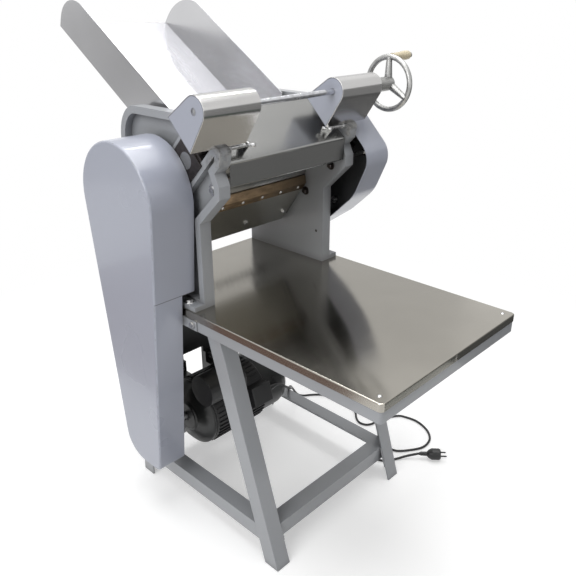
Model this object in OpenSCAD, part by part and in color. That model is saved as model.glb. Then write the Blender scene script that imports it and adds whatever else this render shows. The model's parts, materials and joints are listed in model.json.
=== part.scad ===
// Motor-driven dough press on an angle-iron stand, with a table in front of two
// rollers, a feed chute behind them and a handwheel that sets the roller gap.
// Millimetres, +Z up. X runs across the machine, the table points to -Y.

/* [Table and stand] */
// Height of the table's top face above the floor
table_h = 646; // [560:1:760]
// Width of the table sheet
table_w = 535; // [520:1:600]
// Depth of the table sheet, front edge to back edge
table_d = 858; // [840:1:900]
// Reach of the table in front of the front feet
table_reach = 288; // [240:1:330]
// Backward lean of the rear legs in degrees
rear_lean = 2.05; // [0:0.05:4]
// Backward lean of the front legs in degrees
front_lean = 17.2; // [8:0.1:22]
// Flange width of the angle iron
angle_w = 45; // [38:1:50]
// Thickness of the angle iron
angle_t = 5; // [4:0.5:6]
// Height of the stretchers' top face
stretcher_h = 104; // [80:1:140]
// Thickness of the table sheet
sheet_t = 1.5; // [1:0.1:2.5]
// Depth of the sheet's folded lip
lip_h = 19; // [12:1:30]
// Radius of the table's corners
corner_r = 10; // [5:1:16]

/* [Side walls] */
// Clear width between the two walls
wall_gap = 400; // [360:1:404]
// Depth of a wall over its rim
wall_t = 32; // [28:1:34]
// Thickness of a wall's web
web_t = 12; // [8:1:16]
// Width of the rim around a wall
rim_w = 18; // [14:1:22]
// Distance from the walls' back edge to the table's back edge
wall_inset = 4; // [3:0.5:6]
// Depth of the walls, front edge to back edge
wall_d = 295; // [288:1:297]
// Height of the walls above the table
wall_h = 460; // [454:1:470]
// Size of the walls' rounded upper back corner
wall_round = 85; // [70:1:100]
// Height above the table where the chin starts
chin_low = 216; // [200:1:230]
// Height above the table of the chin's lower corner
chin_mid = 288; // [280:1:296]
// Height above the table of the chin's upper corner
chin_top = 316; // [306:1:326]
// Reach of the chin in front of the walls' front edge
chin_reach = 75; // [66:1:84]
// Thickness of the walls' foot flange
foot_t = 12; // [8:1:16]
// Reach of the foot flange beyond the rim
foot_reach = 30; // [26:1:32]

/* [Rollers] */
// Diameter of the two rollers
roller_d = 125; // [118:1:130]
// Gap between the rollers at rest
roll_gap = 4; // [2:0.5:6]
// Smallest gap that the handwheel sets
gap_min = 1; // [0.5:0.5:2]
// Largest gap that the handwheel sets
gap_max = 12; // [8:1:12]
// Side clearance between a roller and a wall
roller_side = 2; // [1:0.5:4]
// Diameter of the roller journals
journal_d = 40; // [34:1:44]
// Distance of the fixed roller's axis behind the walls' front edge
roller_back = 125; // [120:1:130]
// Height of the fixed roller's axis above the table
roller_h = 268; // [262:1:274]
// Lean of the bearing slots from the vertical in degrees
slot_angle = 45; // [43:0.5:47]
// Width of the bearing slots
slot_w = 68; // [64:1:72]
// Length of a bearing block along its slot
block_l = 88; // [80:1:92]
// Wall thickness of the bushes
bush_t = 8; // [5:1:10]

/* [Gap setting] */
// Distance from the fixed roller's axis to the cross shaft
shaft_reach = 310; // [304:1:318]
// Diameter of the cross shaft
shaft_d = 14; // [12:1:16]
// Diameter of the adjusting screws
screw_d = 24; // [18:1:26]
// Distance from the middle plane to the left housing's outer end
housing_left = 304; // [300:1:310]
// Distance from the middle plane to the right housing's inner end
housing_right = 118; // [112:1:124]
// Length of a gear housing
housing_l = 154; // [150:1:160]
// Radius of a housing's round top
housing_r = 33; // [31:1:36]
// Width of a housing at its base
housing_w = 96; // [90:1:104]
// Distance from the cross shaft to a housing's base
housing_h = 74; // [70:1:80]
// Thickness of the housing end plates
plate_t = 6; // [4:1:8]
// Thickness of the housing base plates
base_t = 10; // [8:1:14]
// Thickness of the sheet-metal covers and guards
skin_t = 1.5; // [1:0.1:2.5]
// Module of the bevel gears
bevel_m = 3; // [2.8:0.1:3.1]
// Teeth of each bevel gear
bevel_teeth = 16; // [16:1:16]

/* [Handwheel] */
// Outside diameter of the handwheel
wheel_d = 146; // [120:1:160]
// Thickness of the handwheel's round rim
wheel_rim = 14; // [10:1:18]
// Diameter of the handwheel's hub
hub_d = 36; // [28:1:42]
// Length of the handwheel's hub
hub_l = 75; // [74:1:80]
// Diameter of the handle grip
grip_d = 24; // [18:1:28]
// Length of the handle grip
grip_l = 78; // [60:1:90]
// Diameter of the handle pin
pin_d = 9; // [7:1:12]

/* [Gears] */
// Teeth of each roller gear
sync_teeth = 20; // [20:4:20]
// Module of the drive gears
drive_m = 2.5; // [2.4:0.1:2.6]
// Teeth of the drive gear on the fixed roller
drive_teeth = 48; // [48:4:48]
// Teeth of the pinion on the input shaft
pinion_teeth = 16; // [16:4:16]
// Face width of the gears
gear_w = 28; // [24:1:30]
// Diameter of the input shaft
input_d = 20; // [16:1:20]
// Direction from the fixed roller to the input shaft in degrees
input_angle = -8.3; // [-11:0.1:-6]

/* [Motor and belts] */
// Diameter of the motor's body
motor_d = 196; // [170:1:198]
// Length of the motor's body
motor_l = 195; // [180:1:210]
// Position of the body's right end
motor_right = 30; // [20:1:40]
// Height of the motor's axis above the floor
motor_z = 240; // [234:1:250]
// Distance from the motor's axis to its foot plane
motor_foot = 125; // [120:1:130]
// Length of the motor's left end shield
shield_l = 36; // [30:1:40]
// Length of the motor's fan cover
cover_l = 112; // [100:1:120]
// Width of each motor foot
foot_l = 40; // [30:1:50]
// Distance of the motor's foot bolts above and below its axis
foot_spread = 75; // [70:1:80]
// Diameter of the motor's shaft
motor_shaft_d = 24; // [19:1:28]
// Outside diameter of the large pulley
pulley_d = 160; // [140:1:166]
// Outside diameter of the motor's pulley
motor_pulley_d = 76; // [66:1:90]
// Width of one belt
belt_w = 10; // [8:0.5:12]
// Depth of one belt
belt_t = 8; // [6:0.5:9]
// Diameter of the capacitor housing
capacitor_d = 90; // [70:1:94]
// Length of the capacitor housing
capacitor_l = 126; // [100:1:140]

/* [Guards] */
// Distance of the belt guard's middle behind the walls' front edge
belt_guard_back = 152.5; // [148:0.5:157]
// Overall depth of the belt guard
belt_guard_w = 119; // [114:1:126]
// Depth of the belt guard below its notch
belt_guard_low_w = 82; // [78:1:84]
// Radius of the belt guard's round top
belt_guard_r = 140; // [136:0.5:144]
// Radius of the belt guard's round bottom
belt_guard_low_r = 74; // [66:1:80]
// Height above the table of the belt guard's notch
notch_h = 38; // [34:1:45]
// Overall depth of the gear guard
gear_guard_w = 96; // [94:1:104]
// Corner radius of the gear guard
gear_guard_r = 57; // [54:1:62]
// Reach of the gear guard's front corner in front of the fixed roller
gear_guard_front = 185; // [180:1:190]
// Height of the gear guard's front corner above the fixed roller
gear_guard_front_up = 33; // [28:1:38]
// Reach of the gear guard's top corner in front of the fixed roller
gear_guard_top_front = 78; // [74:1:84]
// Height of the gear guard's top corner above the fixed roller
gear_guard_top_up = 140; // [136:1:146]
// Reach of the gear guard's back corner behind the fixed roller
gear_guard_back = 74; // [70:1:80]
// Height of the gear guard's back corner above the fixed roller
gear_guard_back_up = 50; // [44:1:56]
// Reach of the gear guard's low corner behind the fixed roller
gear_guard_low_back = 44; // [38:1:50]
// Depth of the gear guard's low corner below the fixed roller
gear_guard_low_down = 186; // [180:1:192]
// Radius of the gear guard's belly
gear_guard_belly_r = 117; // [112:1:122]
// Reach of the belly's upper centre in front of the fixed roller
gear_guard_belly = 105; // [100:1:110]
// Height of the belly's upper centre above the fixed roller
gear_guard_belly_up = 1; // [0:0.5:4]
// Reach of the belly's lower centre in front of the fixed roller
gear_guard_keel = 53; // [48:1:58]
// Depth of the belly's lower centre below the fixed roller
gear_guard_keel_down = 47; // [42:1:52]
// Running gap between a guard's rim and the wall
guard_gap = 5; // [4:0.5:7]

/* [Feed chute] */
// Distance of the chute's lower end behind the fixed roller
chute_back = 44; // [42:1:48]
// Height of the chute's lower end above the fixed roller
chute_up = 59; // [56:1:64]
// Slope of the chute's floor in degrees
chute_angle = 32.8; // [31:0.1:34]
// Length of the chute's floor
chute_l = 553; // [480:1:600]
// Clearance between the chute's floor and a wall
chute_side = 26; // [24:1:40]
// Height of the chute's wings
wing_h = 124; // [110:1:130]
// Radius of the wings' upper ends
wing_round = 104; // [80:1:108]
// Set-back of the wings' lower corner
wing_setback = 49; // [30:1:60]
// Outward flare of the wings in degrees
wing_flare = 6.4; // [3:0.1:7]
// Thickness of the chute's sheet
chute_t = 1.5; // [1:0.1:2.5]

/* [Cover and scraper] */
// Reach of the cover's bend in front of the walls' front edge
cover_reach = 73; // [70:1:76]
// Height of the cover's bend above the table
cover_h = 364; // [361:1:367]
// Depth of the lip folded under the cover's face
cover_lip = 14; // [8:1:16]
// Free length of the studs that carry the cover
stud_l = 66; // [60:1:72]
// Distance of the apron's lower edge behind the fixed roller
apron_back = 31; // [29:1:33]
// Distance of the apron's lower edge below the fixed roller
apron_drop = 172; // [169:1:175]
// Slope of the roller cover's top in degrees
cover_angle = 40; // [38:0.5:42]
// Height of the cover's front face
cover_face_h = 58; // [50:1:62]
// Length of the cover's sloped top
cover_top_l = 150; // [130:1:156]
// Thickness of the apron plate
apron_t = 3; // [2:0.5:4]
// Length of the apron plate down its slope
apron_l = 156; // [140:1:160]
// Lean of the apron plate in degrees
apron_angle = 36.4; // [34:0.1:38]
// Thickness of the scraper blade
blade_t = 2; // [1.5:0.1:3]
// Gap between the scraper's edge and the fixed roller
blade_gap = 1; // [0.5:0.1:2]

/* [Mains lead] */
// Diameter of the mains cord
cord_d = 7.5; // [6:0.1:8]
// Largest diameter of the plug
plug_d = 38; // [34:1:38]

/* [Fasteners] */
// Thread diameter of the frame bolts
bolt_d = 10; // [8:1:10]
// Thread diameter of the small screws
screw_small_d = 5; // [4:0.5:5]

/* [Hidden] */
$fn = 64;

paint = [0.65, 0.68, 0.74];
stainless = [0.74, 0.73, 0.70];
steel = [0.55, 0.56, 0.58];
zinc = [0.70, 0.71, 0.72];
brass = [0.66, 0.50, 0.28];
black = [0.08, 0.09, 0.09];
motor_green = [0.36, 0.40, 0.38];
alloy = [0.68, 0.68, 0.66];
ivory = [0.86, 0.81, 0.66];

// Fits
run_fit = 0.05;
slide_fit = 0.25;
skin_fit = 0.3;
hole_fit = 0.2;
eps = 1;

// Stand
half_w = table_w / 2;
table_y0 = -table_reach;
table_y1 = table_d - table_reach;
rail_x = half_w - sheet_t;
rail_y0 = table_y0 + sheet_t;
rail_y1 = table_y1 - sheet_t;
rail_top = table_h - sheet_t;
rail_low = rail_top - angle_w;
leg_top = rail_top - angle_t;
leg_x = rail_x - angle_t;
stretcher_x = leg_x - angle_t;
rear_top_y = rail_y1 - angle_t;
stand_d = rear_top_y + rail_low * tan(rear_lean);
front_bar_y = stretcher_h * tan(front_lean) + angle_t / cos(front_lean);
rear_bar_y = stand_d - stretcher_h * tan(rear_lean) - angle_t / cos(rear_lean);

// Walls and rollers
wall_x = wall_gap / 2;
wall_out = wall_x + wall_t;
wall_back = table_y1 - wall_inset;
wall_front = wall_back - wall_d;
roller_y = wall_front + roller_back;
roller_z = table_h + roller_h;
roller_r = roller_d / 2;
journal_r = journal_d / 2;
bush_r = journal_r + bush_t;
slot_half = slot_w / 2;
block_h = roller_d + roll_gap;
seat_h = shaft_reach - housing_h;
slot_low = block_h - (roll_gap - gap_min) - block_l / 2 - 4;
slot_x = wall_x + wall_t / 2;
lug = 26;

// Gears and shafts
sync_m = (roller_d + gap_min) / sync_teeth;
drive_x0 = wall_out + 10;
drive_x1 = drive_x0 + gear_w;
gear_x0 = drive_x1 + 4;
input_c = drive_m * (drive_teeth + pinion_teeth) / 2;
input_y = roller_y + input_c * cos(input_angle);
input_z = roller_z + input_c * sin(input_angle);
input_r = input_d / 2;
input_bush_r = input_r + bush_t - 2;

// Belt drive
guard_y = wall_front + belt_guard_back;
guard_x1 = wall_out + guard_gap - 1;
guard_x0 = guard_x1 + belt_guard_w;
groove_d = belt_t + 2.5;
groove_w = belt_w + 1;
belt_pitch = 15;
pulley_w = 2 * belt_pitch + 6;
pulley_x = guard_x0 - skin_t - 9 - pulley_w;
bar_t = 8;
bar_w = foot_l;
motor_bar_y = rail_y1 - angle_t - bar_t;
motor_y = motor_bar_y - motor_foot;
motor_r = motor_d / 2;
motor_left = motor_right - motor_l;
motor_shaft_r = motor_shaft_d / 2;
foot_x = [motor_left + foot_l, motor_right - foot_l];
capacitor_a = 125;
terminal_a = 163;
terminal_l = 70;
terminal_x1 = motor_right - 5;

// Housings and handwheel
housing_starts = [-housing_left, housing_right];
housing_x1 = housing_right + housing_l;
shaft_r = shaft_d / 2;
screw_r = screw_d / 2;
bevel_r = bevel_m * bevel_teeth / 2;
bevel_w = 8;
nut_journal_r = screw_r + 7;
wheel_x = housing_x1 + 72;
wheel_r = (wheel_d - wheel_rim) / 2;
hub_x0 = housing_x1 + skin_fit;
pin_r = pin_d / 2;
grip_x0 = wheel_x + wheel_rim / 2 + 1;

// Overall reach, which places the origin under the middle of the machine
reach_x0 = -guard_x0;
reach_x1 = grip_x0 + grip_l + 4;
reach_y0 = table_y0;
chute_w = wall_gap - 2 * chute_side;
chute_y = roller_y + chute_back;
chute_z = roller_z + chute_up;
reach_y1 = chute_y + chute_l * cos(chute_angle);
origin_x = (reach_x0 + reach_x1) / 2;
origin_y = (reach_y0 + reach_y1) / 2;

// Apron and cover
apron_y = roller_y + apron_back;
apron_z = roller_z - apron_drop;
apron_half = wall_x - 3;
blade_a = 203.5;
cover_y = wall_front - cover_reach;
cover_z = table_h + cover_h;
cover_half = wall_x - 4;
stud_r = screw_small_d;
stud_nut_r = 1.6 * stud_r;
stud_side = 1 - housing_w / 2;
stud_rise = seat_h - stud_nut_r - 1.7;
stud_pos = [roller_y + stud_side * cos(slot_angle) - stud_rise * sin(slot_angle),
    roller_z + stud_side * sin(slot_angle) + stud_rise * cos(slot_angle)];

// Points of the mains cord, from the gland's mouth to the plug
// its start counted from the motor, its middle from the right stretcher and its end from
// the right front leg
cord_start = [
    [30, -108.5, 33], [52, -107.5, 23], [75, -103.5, 2], [120, -81.5, -35], [160, -45.5, -65]];
cord_middle = [
    [-21, -136, 18], [2, -116, 5], [25, -101, -8], [47, -90, -32], [66, -84, -58],
    [88, -81, -82], [112, -84, -96], [138, -96, -100]];
cord_end = [
    [159, 454, 4], [177, 414, 4], [183, 370, 4], [177, 326, 4], [159, 292, 4], [135, 268, 4],
    [122, 244, 4], [128, 220, 4], [149, 208, 4], [179, 205, 4], [243, 174, 4], [259, 144, 4],
    [264, 108, 4], [254, 70, 4], [234, 38, 4], [203, 16, 4], [159, 12, 4], [117, 34, 4],
    [85, 62, 4], [75, 92, 4], [53, 116, 4], [23, 112, 4], [7, 86, 4], [21, 56, 4],
    [51, 40, 4], [80, 20, 10], [106, -7, plug_d / 2]];
cord_points = concat(
    [for (p = cord_start) [motor_right, motor_y, motor_z] + p],
    [for (p = cord_middle) [stretcher_x, rear_bar_y, stretcher_h] + p],
    [for (p = cord_end) [leg_x, 0, 0] + p]);
cord_sides = 8;
cord_steps = 2;
plug_dir = [0.65, -0.76, 0];
gland_l = 35;

// Placing helpers

module place() {
    translate([-origin_x, -origin_y, 0]) children();
}

module both_sides() {
    children();
    mirror([1, 0, 0]) children();
}

// Extrudes an outline drawn in the Y-Z plane from x0 to x1
module slab(x0, x1) {
    translate([x0, 0, 0]) rotate([90, 0, 90]) linear_extrude(x1 - x0) children();
}

module rod(x0, x1, r, y, z) {
    translate([x0, y, z]) rotate([0, 90, 0]) cylinder(r = r, h = x1 - x0);
}

module tube(x0, x1, r, bore, y, z) {
    difference() {
        rod(x0, x1, r, y, z);
        rod(x0 - eps, x1 + eps, bore, y, z);
    }
}

// Local Z runs up the bearing slot from the fixed roller's axis
module slot_frame() {
    translate([0, roller_y, roller_z]) rotate([slot_angle, 0, 0]) children();
}

function slot_pt(p, h) = [
    roller_y + p * cos(slot_angle) - h * sin(slot_angle),
    roller_z + p * sin(slot_angle) + h * cos(slot_angle)];

// Local Z runs up the apron plate from its lower edge
module apron_frame() {
    translate([0, apron_y, apron_z]) rotate([apron_angle, 0, 0]) children();
}

function apron_pt(n, u) = [
    apron_y + n * cos(apron_angle) - u * sin(apron_angle),
    apron_z + n * sin(apron_angle) + u * cos(apron_angle)];

// Local Y runs up the chute's floor from its lower end
module chute_frame() {
    translate([0, chute_y, chute_z]) rotate([chute_angle, 0, 0]) children();
}

// Bolt with a hexagon head that seats on local z = 0, its shank running down
module hex_bolt(d, l) {
    cylinder(d = 1.75 * d, h = 0.65 * d, $fn = 6);
    translate([0, 0, -l]) cylinder(d = d, h = l);
}

module round_screw(d, l) {
    intersection() {
        cylinder(d = 2 * d, h = 0.5 * d);
        translate([0, 0, -0.75 * d]) sphere(r = 1.25 * d);
    }
    translate([0, 0, -l]) cylinder(d = d, h = l);
}

// Gears: an involute outline with its tooth i centred on phase + i steps
function involute(a) = tan(a) * 180 / PI - a;
function tooth_half(m, z, thin, r) =
    90 / z - thin + involute(20) - involute(acos(min(1, m * z * cos(20) / 2 / r)));
function flank_r(m, z, add, ded, k, n) =
    let (low = max(m * z * cos(20) / 2, m * z / 2 - ded * m))
    low + (m * z / 2 + add * m - low) * k / n;
function gear_points(m, z, phase, thin, add = 1, ded = 1.25, n = 4) = [
    for (i = [0 : z - 1], s = [-1, 1], j = [-1 : n])
        let (k = s < 0 ? j : n - 1 - j)
        let (r_on = flank_r(m, z, add, ded, max(k, 0), n))
        let (r = k < 0 ? m * z / 2 - ded * m : r_on)
        let (a = phase + i * 360 / z + s * tooth_half(m, z, thin, r_on))
        [r * cos(a), r * sin(a)]];

module spur_gear(m, z, x0, x1, bore, y, z_pos, phase) {
    thin = 7 / z;
    difference() {
        slab(x0, x1) translate([y, z_pos]) polygon(gear_points(m, z, phase, thin));
        rod(x0 - eps, x1 + eps, bore, y, z_pos);
    }
}

module bevel_gear(phase) {
    taper = (bevel_r - bevel_w) / bevel_r;
    thin = 14 / bevel_teeth;
    linear_extrude(bevel_w, scale = taper)
        polygon(gear_points(bevel_m, bevel_teeth, phase, thin, 0.7, 0.9, 1));
}

// Stand

module angle_profile() {
    polygon([[0, 0], [angle_w, 0], [angle_w, angle_t], [angle_t, angle_t],
        [angle_t, angle_w], [0, angle_w]]);
}

// Leg of the left side, its outer corner on the floor at y
module leg(y, lean, flip) {
    color(paint) intersection() {
        translate([-leg_x, y, 0]) rotate([-lean, 0, 0]) mirror([0, flip, 0])
            translate([0, 0, -angle_w]) linear_extrude(leg_top + 3 * angle_w)
                angle_profile();
        translate([-half_w, -table_d, 0]) cube([half_w, 2 * table_d, leg_top]);
    }
}

module leg_front_left() {
    place() leg(0, front_lean, 0);
}

module leg_front_right() {
    place() mirror([1, 0, 0]) leg(0, front_lean, 0);
}

module leg_rear_left() {
    place() leg(stand_d, -rear_lean, 1);
}

module leg_rear_right() {
    place() mirror([1, 0, 0]) leg(stand_d, -rear_lean, 1);
}

// Side stretcher with its top flange pointing inwards
module side_stretcher() {
    translate([-stretcher_x, front_bar_y, stretcher_h]) rotate([-90, 0, 0])
        linear_extrude(rear_bar_y - front_bar_y) angle_profile();
}

// Cross stretcher under the side stretchers' flanges, its face at local y = 0
module cross_stretcher() {
    reach = stretcher_x - angle_t;
    difference() {
        translate([-reach, 0, stretcher_h]) rotate([0, 90, 0])
            linear_extrude(2 * reach) angle_profile();
        both_sides() translate([stretcher_x - angle_w, -eps, stretcher_h - angle_t])
            cube([angle_w, angle_w + 2 * eps, angle_t + eps]);
    }
}

module stretchers() {
    color(paint) place() {
        both_sides() side_stretcher();
        translate([0, front_bar_y, 0]) cross_stretcher();
        translate([0, rear_bar_y, 0]) mirror([0, 1, 0]) cross_stretcher();
    }
}

module table_outline(inset) {
    r = max(corner_r - inset, 0.5);
    hull() for (x = [-1, 1], y = [table_y0 + inset + r, table_y1 - inset - r])
        translate([x * (half_w - inset - r), y]) circle(r = r);
}

module rail_ring() {
    inside = [2 * leg_x, rail_y1 - rail_y0 - 2 * angle_t];
    translate([0, 0, rail_low]) linear_extrude(angle_w) difference() {
        table_outline(sheet_t);
        translate([-leg_x, rail_y0 + angle_t]) square(inside);
    }
    translate([0, 0, rail_top - angle_t]) linear_extrude(angle_t) difference() {
        table_outline(sheet_t);
        table_outline(sheet_t + angle_w);
    }
}

function table_corner(i, inset) = [
    (i == 0 || i == 3 ? -1 : 1) * (half_w - inset),
    i < 2 ? table_y0 + inset : table_y1 - inset];

// Four angle bars, mitred at the corners of the table
module table_rails() {
    deep = angle_w + 2 * sheet_t;
    color(paint) place() difference() {
        for (i = [0 : 3]) intersection() {
            rail_ring();
            translate([0, 0, rail_low]) linear_extrude(angle_w)
                polygon([table_corner(i, 0), table_corner((i + 1) % 4, 0),
                    table_corner((i + 1) % 4, deep), table_corner(i, deep)]);
        }
        wall_foot_bolts() bolt_hole(table_h);
        table_screw_places() translate([0, 0, -table_h]) cylinder(d = screw_small_d, h = table_h);
        rail_bolt_place() rod(-angle_w, angle_w, bolt_d / 2, 0, 0);
    }
}

module table_screw_places() {
    inset = angle_w / 2;
    for (x = [-1, 1])
        translate([x * (half_w - inset), table_y0 + inset, table_h]) children();
}

module table_top() {
    color(stainless) place() difference() {
        translate([0, 0, table_h - lip_h]) linear_extrude(lip_h) table_outline(0);
        translate([0, 0, table_h - lip_h - eps]) linear_extrude(lip_h - sheet_t + eps)
            table_outline(sheet_t);
        wall_foot_bolts() bolt_hole(table_h);
        table_screw_places() translate([0, 0, -table_h / 2])
            cylinder(d = screw_small_d, h = table_h);
    }
}

module table_screws() {
    color(zinc) place() table_screw_places() round_screw(screw_small_d, sheet_t + angle_t);
}

// Walls

wall_outline_points = concat(
    [[wall_front, table_h], [wall_front, table_h + chin_low],
        [wall_front - chin_reach, table_h + chin_mid],
        [wall_front - chin_reach, table_h + chin_top],
        slot_pt(-slot_half - 44, seat_h - 50),
        slot_pt(-slot_half - 44, seat_h - 26),
        slot_pt(-slot_half - lug, seat_h),
        slot_pt(-slot_half, seat_h), slot_pt(-slot_half, slot_low),
        slot_pt(slot_half, slot_low), slot_pt(slot_half, seat_h),
        slot_pt(slot_half + lug / 2, seat_h)],
    [[roller_y - wall_round, table_h + wall_h]],
    [for (a = [90:-10:0]) [wall_back - 0.8 * wall_round * (1 - cos(a)),
        table_h + wall_h - wall_round * (1 - sin(a))]],
    [[wall_back, table_h]]);

module wall_outline() {
    polygon(wall_outline_points);
}

// Right-hand wall without its foot bolts and bores
module wall_casting() {
    slab(wall_x, wall_x + web_t) wall_outline();
    slab(wall_x, wall_out) difference() {
        wall_outline();
        offset(delta = -rim_w) wall_outline();
    }
    rod(wall_x, wall_out, bush_r + 17, roller_y, roller_z);
    rod(wall_x, wall_out, input_bush_r + 12, input_y, input_z);
    for (pos = guard_stud_places) rod(wall_x, boss_x, 13, pos[0], pos[1]);
    for (pos = tie_places) rod(wall_x, wall_out, 16, pos[0], pos[1]);
    translate([wall_x, wall_front, table_h])
        cube([wall_t + foot_reach, wall_d, foot_t]);
}

module wall() {
    color(paint) difference() {
        wall_casting();
        rod(wall_x - eps, wall_out + eps, bush_r, roller_y, roller_z);
        rod(wall_x - eps, wall_out + eps, input_bush_r, input_y, input_z);
        rod(wall_x - eps, wall_x + web_t, stud_r, stud_pos[0], stud_pos[1]);
        for (pos = guard_stud_places)
            rod(wall_x + 2, boss_x + eps, guard_stud_r, pos[0], pos[1]);
        for (pos = tie_places) rod(wall_x - eps, wall_out + eps, tie_r, pos[0], pos[1]);
        housing_bolt_places() translate([0, 0, -30]) cylinder(d = housing_bolt_d, h = 30 + eps);
        for (y = foot_bolt_y)
            translate([foot_bolt_x, y, table_h - eps]) cylinder(d = bolt_d, h = foot_t + 2 * eps);
    }
}

foot_bolt_x = wall_out + foot_reach / 2;
foot_bolt_y = [wall_front + 40, wall_back - 40];
guard_stud_r = 5;
boss_x = wall_x + web_t + 6;
housing_bolt_d = bolt_d - 4;
housing_bolt_p = slot_half + housing_bolt_d / 2 + 1;
guard_stud_places = [
    [wall_front - 38, table_h + chin_mid + 14],
    [roller_y + 62, roller_z + 92],
    [roller_y - 58, roller_z - 124]];
tie_places = [
    [wall_back - 0.5 * wall_round, table_h + wall_h - 1.5 * wall_round],
    [wall_back - 0.5 * wall_round, table_h + 1.1 * wall_round]];
tie_r = 10;

// Places of the bolts that hold the walls' feet to the side rails
module wall_foot_bolts() {
    for (side = [-1, 1], y = foot_bolt_y)
        translate([side * foot_bolt_x, y, table_h + foot_t]) children();
}

module bolt_hole(l) {
    translate([0, 0, -l]) cylinder(d = bolt_d, h = l + eps);
}

// Places of the bolts that hold a housing's base to the wall, on top of the base
module housing_bolt_places() {
    slot_frame() for (side = [-1, 1])
        translate([slot_x, side * housing_bolt_p, seat_h]) children();
}

// Place of the bolt that holds the belt guard's clip to the left rail
module rail_bolt_place() {
    translate([-rail_x, wall_front + 4, rail_low + 15]) children();
}

module wall_left() {
    place() mirror([1, 0, 0]) wall();
}

module wall_right() {
    place() wall();
}

module frame_bolts() {
    color(zinc) place() {
        wall_foot_bolts() hex_bolt(bolt_d, foot_t + sheet_t + angle_t);
        for (pos = guard_stud_places) translate([-boss_x, pos[0], pos[1]])
            rotate([0, -90, 0]) hex_bolt(2 * guard_stud_r, web_t);
        both_sides() housing_bolt_places() translate([0, 0, base_t])
            hex_bolt(housing_bolt_d, base_t + 24);
        rail_bolt_place() translate([-clip_t, 0, 0]) rotate([0, -90, 0])
            hex_bolt(bolt_d, clip_t + angle_t);
        apron_bolt_places() rotate([90, 0, 0]) hex_bolt(bolt_d - 2, apron_t + 12);
        motor_bolt_places() rotate([90, 0, 0]) hex_bolt(bolt_d, motor_flange_t + bar_t);
    }
}

module tie_rods() {
    color(zinc) place() for (pos = tie_places) {
        rod(-wall_out, wall_out, tie_r, pos[0], pos[1]);
        both_sides() translate([wall_out, pos[0], pos[1]]) rotate([0, 90, 0])
            cylinder(r = 1.6 * tie_r, h = 4, $fn = 6);
    }
}

// Cover, scraper and apron

// Outline of the cover's folded sheet, seen from the side
module cover_outline() {
    c = cos(cover_angle);
    s = sin(cover_angle);
    bend = [cover_y, cover_z];
    low = [cover_y + 2, cover_z - cover_face_h];
    top = [cover_y + cover_top_l * c, cover_z + cover_top_l * s];
    polygon([bend, low, low + [cover_lip, -3], low + [cover_lip, -3 + skin_t],
        low + [skin_t, skin_t], bend + [skin_t, -skin_t / 2],
        top + [skin_t * s, -skin_t * c], top]);
}

// Ear that hangs the cover on its stud
module cover_ear() {
    x0 = wall_x - stud_l + 8;
    difference() {
        slab(x0, x0 + 3) hull() {
            translate(stud_pos) circle(r = stud_nut_r);
            translate([cover_y + 14, cover_z + 14 * tan(cover_angle) - 1]) circle(r = 1);
            translate([cover_y + 32, cover_z + 32 * tan(cover_angle) - 1]) circle(r = 1);
        }
        rod(x0 - eps, x0 + 3 + eps, stud_r, stud_pos[0], stud_pos[1]);
    }
}

module roller_cover() {
    color(stainless) place() {
        slab(-cover_half, cover_half) cover_outline();
        both_sides() cover_ear();
    }
}

module cover_studs() {
    color(zinc) place() both_sides() {
        rod(wall_x - stud_l, wall_x + web_t, stud_r, stud_pos[0], stud_pos[1]);
        translate([wall_x - 10, stud_pos[0], stud_pos[1]]) rotate([0, 90, 0])
            cylinder(r = stud_nut_r, h = 10, $fn = 6);
    }
}

blade_low = 24;
blade_tip_r = roller_r + blade_gap;

function blade_tip(r) = [roller_y + r * cos(blade_a), roller_z + r * sin(blade_a)];

module scraper_blade() {
    color(brass) place() difference() {
        slab(-apron_half, apron_half) polygon([
            apron_pt(0, apron_l - blade_low), apron_pt(0, apron_l), blade_tip(blade_tip_r),
            blade_tip(blade_tip_r + blade_t), apron_pt(-blade_t, apron_l),
            apron_pt(-blade_t, apron_l - blade_low)]);
        scraper_screw_places() cylinder(d = screw_small_d, h = 30, center = true);
    }
}

module scraper_screw_places() {
    count = 6;
    step = 2 * (apron_half - 25) / (count - 1);
    for (i = [0 : count - 1])
        apron_frame() translate([-apron_half + 25 + i * step, -blade_t, apron_l - 12])
            rotate([90, 0, 0]) children();
}

module scraper_screws() {
    color(zinc) place() scraper_screw_places() round_screw(screw_small_d, blade_t + apron_t);
}

apron_edge = 20;
apron_bolt_up = 2 * apron_edge;
bracket_w = apron_edge + 1.3 * bolt_d;
bracket_h = 4 * bolt_d;
bracket_t = 3 * bolt_d;

module apron_bolt_places() {
    for (x = [-1, 0.16, 1] * (apron_half - apron_edge))
        apron_frame() translate([x, 0, apron_bolt_up]) children();
}

module apron_plate() {
    color(stainless) place() difference() {
        apron_frame() translate([-apron_half, 0, 0]) cube([2 * apron_half, apron_t, apron_l]);
        scraper_screw_places() cylinder(d = screw_small_d, h = 30, center = true);
        apron_bolt_places() rotate([90, 0, 0])
            cylinder(d = bolt_d - 2, h = 4 * apron_t, center = true);
    }
}

// Blocks on the walls' inner faces that carry the apron
module apron_brackets() {
    color(steel) place() difference() {
        both_sides() apron_frame()
            translate([apron_half - bracket_w, apron_t, apron_bolt_up - bracket_h / 2])
                cube([wall_x - apron_half + bracket_w, bracket_t, bracket_h]);
        apron_bolt_places() rotate([-90, 0, 0]) cylinder(d = bolt_d - 2, h = apron_t + 12);
    }
}

// Feed chute

module chute_floor() {
    half = chute_w / 2 - 0.2;
    color(stainless) place() chute_frame() translate([-half, 0, -chute_t])
        cube([2 * half, chute_l, chute_t]);
}

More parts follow.
